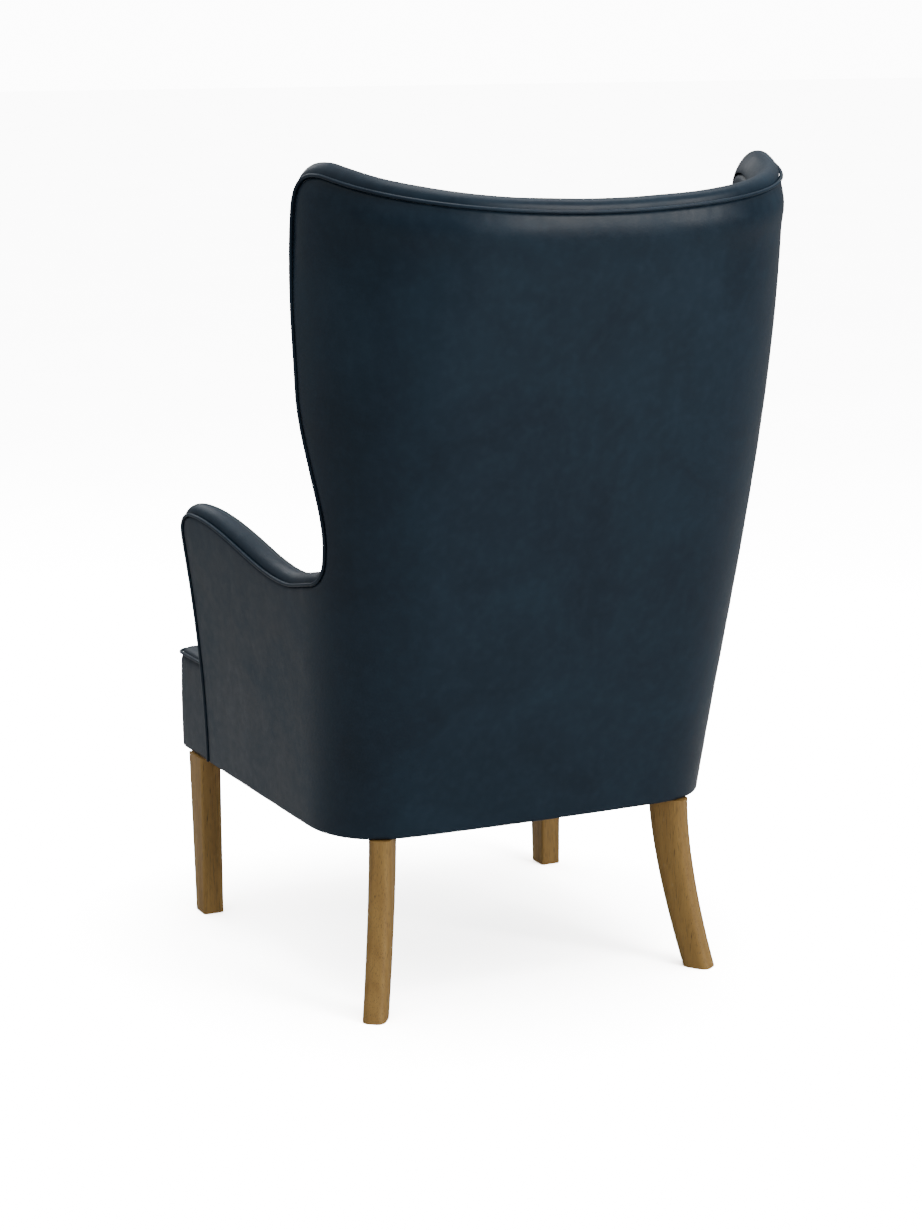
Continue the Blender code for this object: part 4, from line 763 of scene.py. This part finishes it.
def seat_plan(skin, slack, level):
    """Shut plan outline of the seat at a level: along the inside covers, then round the ears."""
    girth = np.linspace(0, ARM_FOOT_S - 0.03, 160)
    high = np.full(160, level)
    rear = bend(girth, high, panel_depth(girth, high) + slack)[:, :2]
    rear = rear[rear[:, 1] > arm_front[0, 1] + 0.001]
    notch = arm_front[:, :2] + (-0.0002, 0.0004)         # cut round the front of the arm facing
    notch = notch[notch[:, 0] < BORDER_X - skin - 0.002]
    half = np.vstack([rear, notch, ear_turn(skin)])
    shut = np.vstack([half, (half * (-1, 1))[-2:0:-1]])
    return spaced(np.vstack([shut, shut[:1]]), 0.005)[:-1]


plan = seat_plan(BORDER_SKIN - 0.0002, 0.0002, SEAT_EDGE_Z)
flat, faces = cut_sheet(plan, (0.001, 0.0022, 0.004, 0.008, 0.014), 0.0085)
gap, index = nearest(flat, plan)
# by_front is 1 along the welt and 0 along the inside covers
by_front = ease((ARM_FRONT_Y + 0.002 - plan[index, 1]) / 0.004)
height = SEAT_EDGE_Z - 0.0068 * by_front * np.exp(-((gap / 0.0024) ** 1.4))
height -= 0.006 * (1 - by_front) * np.exp(-gap / 0.006)
height += (SEAT_CROWN - 0.003) * (1 - np.exp(-((gap / 0.085) ** 1.2)))
gather = ripple(np.stack([run_length(plan)[index], gap * 0.2, 0 * gap], axis=1), 0.016, 6.1)
height += 0.0007 * gather * np.exp(-gap / 0.016) * (1 - np.exp(-gap / 0.003))
points = np.column_stack([flat, height])
seat = new_piece("seat_top_leather", points, faces, hide)
if seat.data.polygons[0].normal.z < 0:
    faces = [tuple(f[::-1]) for f in faces]
    seat.data.flip_normals()
swollen(seat, gap < 0.0025, 2.5, 0.006)
under = points.copy()
under[:, 2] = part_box("spring_hessian")[1].z + 0.0008
seat_felt = stuffing_for(seat, under, faces, LEATHER + 0.0006)
in_place(seat, "leather", "seat_cover")
in_place(seat_felt, "padding", "seat_padding")

# The border: a plumb strip round the ears and the front, drawn over a layer of felt on the rail and
# turned in behind the ears.
turned_in = [(BORDER_X - 0.046, EAR_Y + 0.0056), (BORDER_X - 0.004, EAR_Y + 0.0056),
             (BORDER_X - 0.0014, EAR_Y + 0.0050)]
half = spaced(np.vstack([turned_in, ear_turn(0.0)]), 0.003)
plan = np.vstack([half, (half * (-1, 1))[-2::-1]])
ahead = np.gradient(plan, axis=0)
ahead /= np.linalg.norm(ahead, axis=1)[:, None]
outward = np.stack([-ahead[:, 1], ahead[:, 0]], axis=1)
levels = RIM_Z + (BORDER_TOP - RIM_Z) * (0.5 - 0.5 * np.cos(np.pi * np.linspace(0, 1, 25)))
down, up = levels - RIM_Z, BORDER_TOP - levels
run = run_length(plan)
inset = 0.0030 * np.exp(-(up / 0.0035) ** 1.3)
inset += 0.0045 * (1 - np.sqrt(1 - np.clip(1 - down / 0.0045, 0, 1) ** 2))
inset = np.repeat(inset[None], len(run), axis=0)
at = np.stack(np.broadcast_arrays(run[:, None], up[None] * 0.3, 0.0), axis=-1).reshape(-1, 3)
inset = inset + 0.0005 * ripple(at, 0.018, 8.8).reshape(inset.shape) * np.exp(-up / 0.02)[None]
inset = inset - 0.0010 * np.sin(np.pi * down / down[-1])[None] + 0.0010
border = np.dstack([plan[:, None, 0] - outward[:, None, 0] * inset,
                    plan[:, None, 1] - outward[:, None, 1] * inset,
                    np.broadcast_to(levels, inset.shape)])
welt_y = bend(front_s(levels), levels)[:, 1] - 0.0030    # the rear end follows the lean of the arm
border[:, :, 1] += (welt_y - EAR_Y - 0.004)[None] * ease((plan[:, 1] - EAR_Y + 0.018) / 0.020)[:, None]
wide = len(levels)
faces = quads(len(plan), wide)
strap = new_piece("seat_border_leather", border.reshape(-1, 3), faces, hide)
thick = strap.modifiers.new("hide_thickness", "SOLIDIFY")
thick.thickness, thick.offset = LEATHER, -1.0
in_place(strap, "leather", "seat_border")

half = ear_turn(0.0006)
half[0, 1] = ARM_FRONT_Y + 0.002
line = spaced(np.vstack([half, (half * (-1, 1))[-2::-1]]), 0.0016)
piping("seat_welt_leather", np.column_stack([line, np.full(len(line), BORDER_TOP + WELT_R + 0.0004)]),
       WELT_R, "seat_welt")

low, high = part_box("seat_front_padding")
pad_face = new_piece("seat_front_felt", [(x, y, z) for x in (low.x, high.x) for y in (low.y, high.y)
                                         for z in (low.z, high.z)],
                     [(0, 1, 3, 2), (4, 6, 7, 5), (0, 4, 5, 1), (2, 3, 7, 6), (0, 2, 6, 4), (1, 5, 7, 3)],
                     felt, False)
soft = pad_face.modifiers.new("rounded", "BEVEL")
soft.width, soft.segments = 0.008, 5
in_place(pad_face, "padding", "seat_front_padding")


# ------------------------------------------------------------------ oak legs
# Solid oak, oiled. The front legs are square with softened edges and taper in front, and a tenon
# holds them in the side rails. The rear legs are sabre legs, turned out along the corners, with a
# turned spigot in the corner blocks.
oak = timber("oiled_oak", (0, 0, 0), (0.50, 0.300, 0.085, 1), (0.285, 0.150, 0.038, 1),
             0.0075, 0.7, 0.00025)
LEG_TOP = RIM_Z - 0.0003


def leg(name, rings, node):
    sides = len(rings[0])
    points = np.vstack(rings)
    faces = quads(len(rings), sides, True)
    faces += [tuple(range(sides))[::-1], tuple((len(rings) - 1) * sides + j for j in range(sides))]
    made = outwards(new_piece(name, points, faces, oak))
    made.data.set_sharp_from_angle(angle=np.radians(38))
    return in_place(made, "oak", node)


REAR_LEG_S, REAR_LEG_IN, REAR_LEG_TURN = 0.221, 0.021, np.radians(36.5)
REAR_LEG_TOP, REAR_LEG_FOOT, REAR_LEG_WIDE, REAR_LEG_SPLAY = 0.053, 0.041, 0.032, 0.0495
SPIGOT_R, SPIGOT_TOP = 0.0117, RIM_Z + 0.0424
FOOT_EDGE = 0.0015
levels = np.concatenate([[0.0, 0.0006, FOOT_EDGE], np.linspace(0.004, LEG_TOP, 44)])
ring_turn = np.linspace(0, 2 * np.pi, 56, endpoint=False)
squared = [np.sign(f(ring_turn)) * np.abs(f(ring_turn)) ** 0.62 for f in (np.cos, np.sin)]
for word, side in SIDES:
    centre = bend(side * REAR_LEG_S, RIM_Z, REAR_LEG_IN)
    outward = np.array([side * np.sin(REAR_LEG_TURN), np.cos(REAR_LEG_TURN), 0])
    across = np.array([-outward[1], outward[0], 0])
    rings = []
    for z in levels:
        t = z / LEG_TOP
        chamfer = FOOT_EDGE - np.sqrt(FOOT_EDGE ** 2 - max(FOOT_EDGE - z, 0) ** 2)
        deep = REAR_LEG_FOOT + (REAR_LEG_TOP - REAR_LEG_FOOT) * t ** 1.26 - 2 * chamfer
        middle = centre * (1, 1, 0) + outward * REAR_LEG_SPLAY * (1 - t) ** 1.55 + (0, 0, z)
        rings.append(middle + np.outer(squared[0], outward) * deep / 2
                     + np.outer(squared[1], across) * (REAR_LEG_WIDE / 2 - chamfer))
    for z, radius in ((LEG_TOP, SPIGOT_R), (SPIGOT_TOP - 0.001, SPIGOT_R), (SPIGOT_TOP, SPIGOT_R - 0.001)):
        round_top = np.outer(np.cos(ring_turn), outward) + np.outer(np.sin(ring_turn), across)
        rings.append(centre * (1, 1, 0) + (0, 0, z) + round_top * radius)
    leg("rear_leg_%s_oak" % word, rings, "rear_leg_" + word)

FRONT_FOOT, FRONT_SHOULDER, FRONT_EDGE = 0.035, 0.052, 0.004
TENON_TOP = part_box("front_leg_left")[1].z
for word, side in SIDES:
    low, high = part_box("front_leg_" + word)
    rear_y = high.y
    quarter = np.linspace(0, np.pi / 2, 7)

    def soft_square(x0, x1, y0, y1, edge, z):
        corners = ((x1 - edge, y1 - edge, 0), (x0 + edge, y1 - edge, 1), (x0 + edge, y0 + edge, 2),
                   (x1 - edge, y0 + edge, 3))
        return np.array([(cx + edge * np.cos(a + q * np.pi / 2), cy + edge * np.sin(a + q * np.pi / 2), z)
                         for cx, cy, q in corners for a in quarter])

    rings = []
    for z in levels:
        chamfer = FOOT_EDGE - np.sqrt(FOOT_EDGE ** 2 - max(FOOT_EDGE - z, 0) ** 2)
        deep = FRONT_FOOT + (FRONT_SHOULDER - FRONT_FOOT) * z / LEG_TOP
        rings.append(soft_square(low.x + chamfer, high.x - chamfer,
                                 rear_y - deep + chamfer, rear_y - chamfer, FRONT_EDGE, z))
    middle = rear_y - FRONT_SHOULDER / 2
    inner_x, outer_x = (low.x + 0.006, high.x - 0.008) if side > 0 else (low.x + 0.008, high.x - 0.006)
    for z in (LEG_TOP, TENON_TOP):
        rings.append(soft_square(inner_x, outer_x, middle - 0.010, middle + 0.010, 0.001, z))
    leg("front_leg_%s_oak" % word, rings, "front_leg_" + word)


# ------------------------------------------------------------------ cloth under the seat
# Hessian is stretched over the springs and carries the seat's stuffing. A black lining is tacked
# under the rails to keep the dust in, and it hangs a little slack between its tacks.
TACK_GAP = 0.026                         # one tack every 26 mm
# each cloth's second colour is the painted shade between its threads
hessian = woven("jute_hessian", 0.0022, (0.50, 0.39, 0.24, 1), (0.24, 0.17, 0.09, 1), 0.0004, 0.95)
lining = woven("black_cambric", 0.0007, (0.020, 0.020, 0.022, 1), (0.008, 0.008, 0.009, 1), 0.0001, 0.9)


def flat_outline(node):
    """The plan outline of a thin CAD sheet, as points in order round it."""
    spots = np.unique(np.round([v.co[:2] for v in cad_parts[node].data.vertices], 4), axis=0)
    spots = [Vector(p) for p in spots]
    hull = geometry.convex_hull_2d(spots)
    shut = np.array([spots[i][:] for i in hull] + [spots[hull[0]][:]])
    return spaced(shut, 0.006)[:-1]


def cloth_under(name, node, material, slot, level, sag, ease_in):
    plan = flat_outline(node)
    flat, faces = cut_sheet(plan, (0.003, 0.008), 0.010)
    gap, index = nearest(flat, plan)
    tack = 0.0006 * np.cos(2 * np.pi * run_length(plan)[index] / TACK_GAP) * np.exp(-gap / 0.012)
    rise = sag * ease(gap / ease_in) + tack * ease(gap / 0.004)
    made = new_piece(name, np.column_stack([flat, level + rise]), faces, material)
    in_place(made, slot, node)
    return plan


low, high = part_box("spring_hessian")
cloth_under("spring_hessian_cloth", "spring_hessian", hessian, "hessian", low.z + 0.0006,
            high.z - low.z - 0.0014, 0.10)
low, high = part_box("dust_cover")
tack_line = cloth_under("dust_cover_cloth", "dust_cover", lining, "cambric", high.z - 0.0004, -0.0005, 0.10)

# Blued tacks hold the lining, one every 26 mm.
blued, tree, shader = new_material("blued_steel", Metallic=1.0, IOR=2.4)
place = add_node(tree, "TexCoord").outputs["Object"]
spots = add_node(tree, "TexNoise", {"Vector": place, "Scale": 700.0, "Detail": 3.0}).outputs["Fac"]
tree.links.new(between(tree, spots, (0.05, 0.06, 0.08, 1), (0.16, 0.17, 0.20, 1)),
               shader.inputs["Base Color"])
tree.links.new(span(tree, spots, 0.3, 0.7, 0.3, 0.5), shader.inputs["Roughness"])
profile = [(0.0, -0.0011), (0.0012, -0.0010), (0.0022, -0.0006), (0.0026, 0.0), (0.0008, 0.0002),
           (0.0004, 0.006)]
sides = 12
middle = tack_line.mean(axis=0)
places = spaced(np.vstack([tack_line, tack_line[:1]]), TACK_GAP)[:-1]
places = places + (middle - places) / np.linalg.norm(middle - places, axis=1)[:, None] * 0.005
points, faces = [], []
for x, y in places:
    first = len(points)
    for radius, z in profile[1:]:
        points += [(x + radius * np.cos(a), y + radius * np.sin(a), low.z + z)
                   for a in np.linspace(0, 2 * np.pi, sides, endpoint=False)]
    faces += [(first + r * sides + j, first + (r + 1) * sides + j,
               first + (r + 1) * sides + (j + 1) % sides,
               first + r * sides + (j + 1) % sides) for r in range(len(profile) - 2) for j in range(sides)]
    faces.append(tuple(first + j for j in range(sides)))
    faces.append(tuple(first + (len(profile) - 2) * sides + j for j in range(sides))[::-1])
tacks = outwards(new_piece("lining_tacks", points, faces, blued))
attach(tacks, "root")


# ------------------------------------------------------------------ floor, light and camera
# A white studio floor that runs back out of sight, a wide soft light overhead, a strong one behind
# the chair, a faint one ahead of it, and a pale room. Floor and room look blown out to the camera,
# but throw far less light than that on the chair, so that the dark hide keeps its depth.
FLOOR_BOUNCE, FLOOR_WHITE = 0.44, 19.0   # what the floor throws back, and how white it looks
ROOM_SIDE, ROOM_TOP, ROOM_AHEAD = 0.12, 0.9, 0.06    # light from the walls, the ceiling and the front
ROOM_WHITE = 12.5                        # how white the room looks
floor_mesh = bpy.data.meshes.new("studio_floor")
floor_mesh.from_pydata([(-40, -40, 0), (40, -40, 0), (40, 40, 0), (-40, 40, 0)], [], [(0, 1, 2, 3)])
floor = bpy.data.objects.new("studio_floor", floor_mesh)
bpy.context.scene.collection.objects.link(floor)
paper, tree, shader = new_material("white_paper", Roughness=0.75)
place = add_node(tree, "TexCoord").outputs["Object"]
mottle = add_node(tree, "TexNoise", {"Vector": place, "Scale": 1.5, "Detail": 2.0}).outputs["Fac"]
seen = add_node(tree, "LightPath").outputs["Is Camera Ray"]
tone = add_node(tree, "Mix", {0: seen, 2: FLOOR_BOUNCE, 3: FLOOR_WHITE}).outputs[0]
tone = calc(tree, "MULTIPLY", tone, span(tree, mottle, 0.3, 0.7, 0.97, 1.0))
tree.links.new(tone, shader.inputs["Base Color"])
floor_mesh.materials.append(paper)

world = bpy.data.worlds.new("studio_room")
bpy.context.scene.world = world
world.use_nodes = True
tree = world.node_tree
room = tree.nodes["Background"]
room.inputs["Color"].default_value = (1.0, 1.0, 1.0, 1)
way = add_node(tree, "SeparateXYZ", {"Vector": add_node(tree, "TexCoord").outputs["Generated"]}).outputs
level = calc(tree, "ADD", span(tree, way["Z"], 0.0, 1.0, ROOM_SIDE, ROOM_TOP),
             span(tree, way["Y"], 0.2, -0.8, 0.0, ROOM_AHEAD))
seen = add_node(tree, "LightPath").outputs["Is Camera Ray"]
tree.links.new(add_node(tree, "Mix", {0: seen, 2: level, 3: ROOM_WHITE}).outputs[0],
               room.inputs["Strength"])


def soft_light(name, place, aim, size, power):
    lamp = bpy.data.lights.new(name, "AREA")
    lamp.shape, lamp.size, lamp.size_y, lamp.energy = "RECTANGLE", size[0], size[1], power
    made = bpy.data.objects.new(name, lamp)
    made.location = place
    made.rotation_mode = "QUATERNION"
    made.rotation_quaternion = (Vector(aim) - Vector(place)).to_track_quat("-Z", "Y")
    bpy.context.scene.collection.objects.link(made)


soft_light("overhead", (-0.2, 0.3, 3.2), (0, 0, 0.5), (2.4, 1.8), 45)
soft_light("behind", (-1.7, 3.3, 1.75), (0, 0.3, 1.0), (1.5, 1.3), 60)
soft_light("ahead", (0.6, -3.2, 2.6), (0, 0, 0.6), (1.8, 1.2), 14)

camera_data = bpy.data.cameras.new("camera")
camera = bpy.data.objects.new("camera", camera_data)
bpy.context.scene.collection.objects.link(camera)
camera_data.sensor_width, camera_data.lens = 36.0, 82.5
TURN, TIP, TILT = np.radians(154.409), np.radians(12.189), np.radians(0.125)
camera.location = (1.641, 3.394 + SHIFT_Y, 1.288)
toward = Vector((-np.sin(TURN) * np.cos(TIP), np.cos(TURN) * np.cos(TIP), -np.sin(TIP)))
camera.rotation_mode = "QUATERNION"
camera.rotation_quaternion = toward.to_track_quat("-Z", "Y")
camera.rotation_quaternion.rotate(Quaternion(toward, TILT))
bpy.context.scene.camera = camera
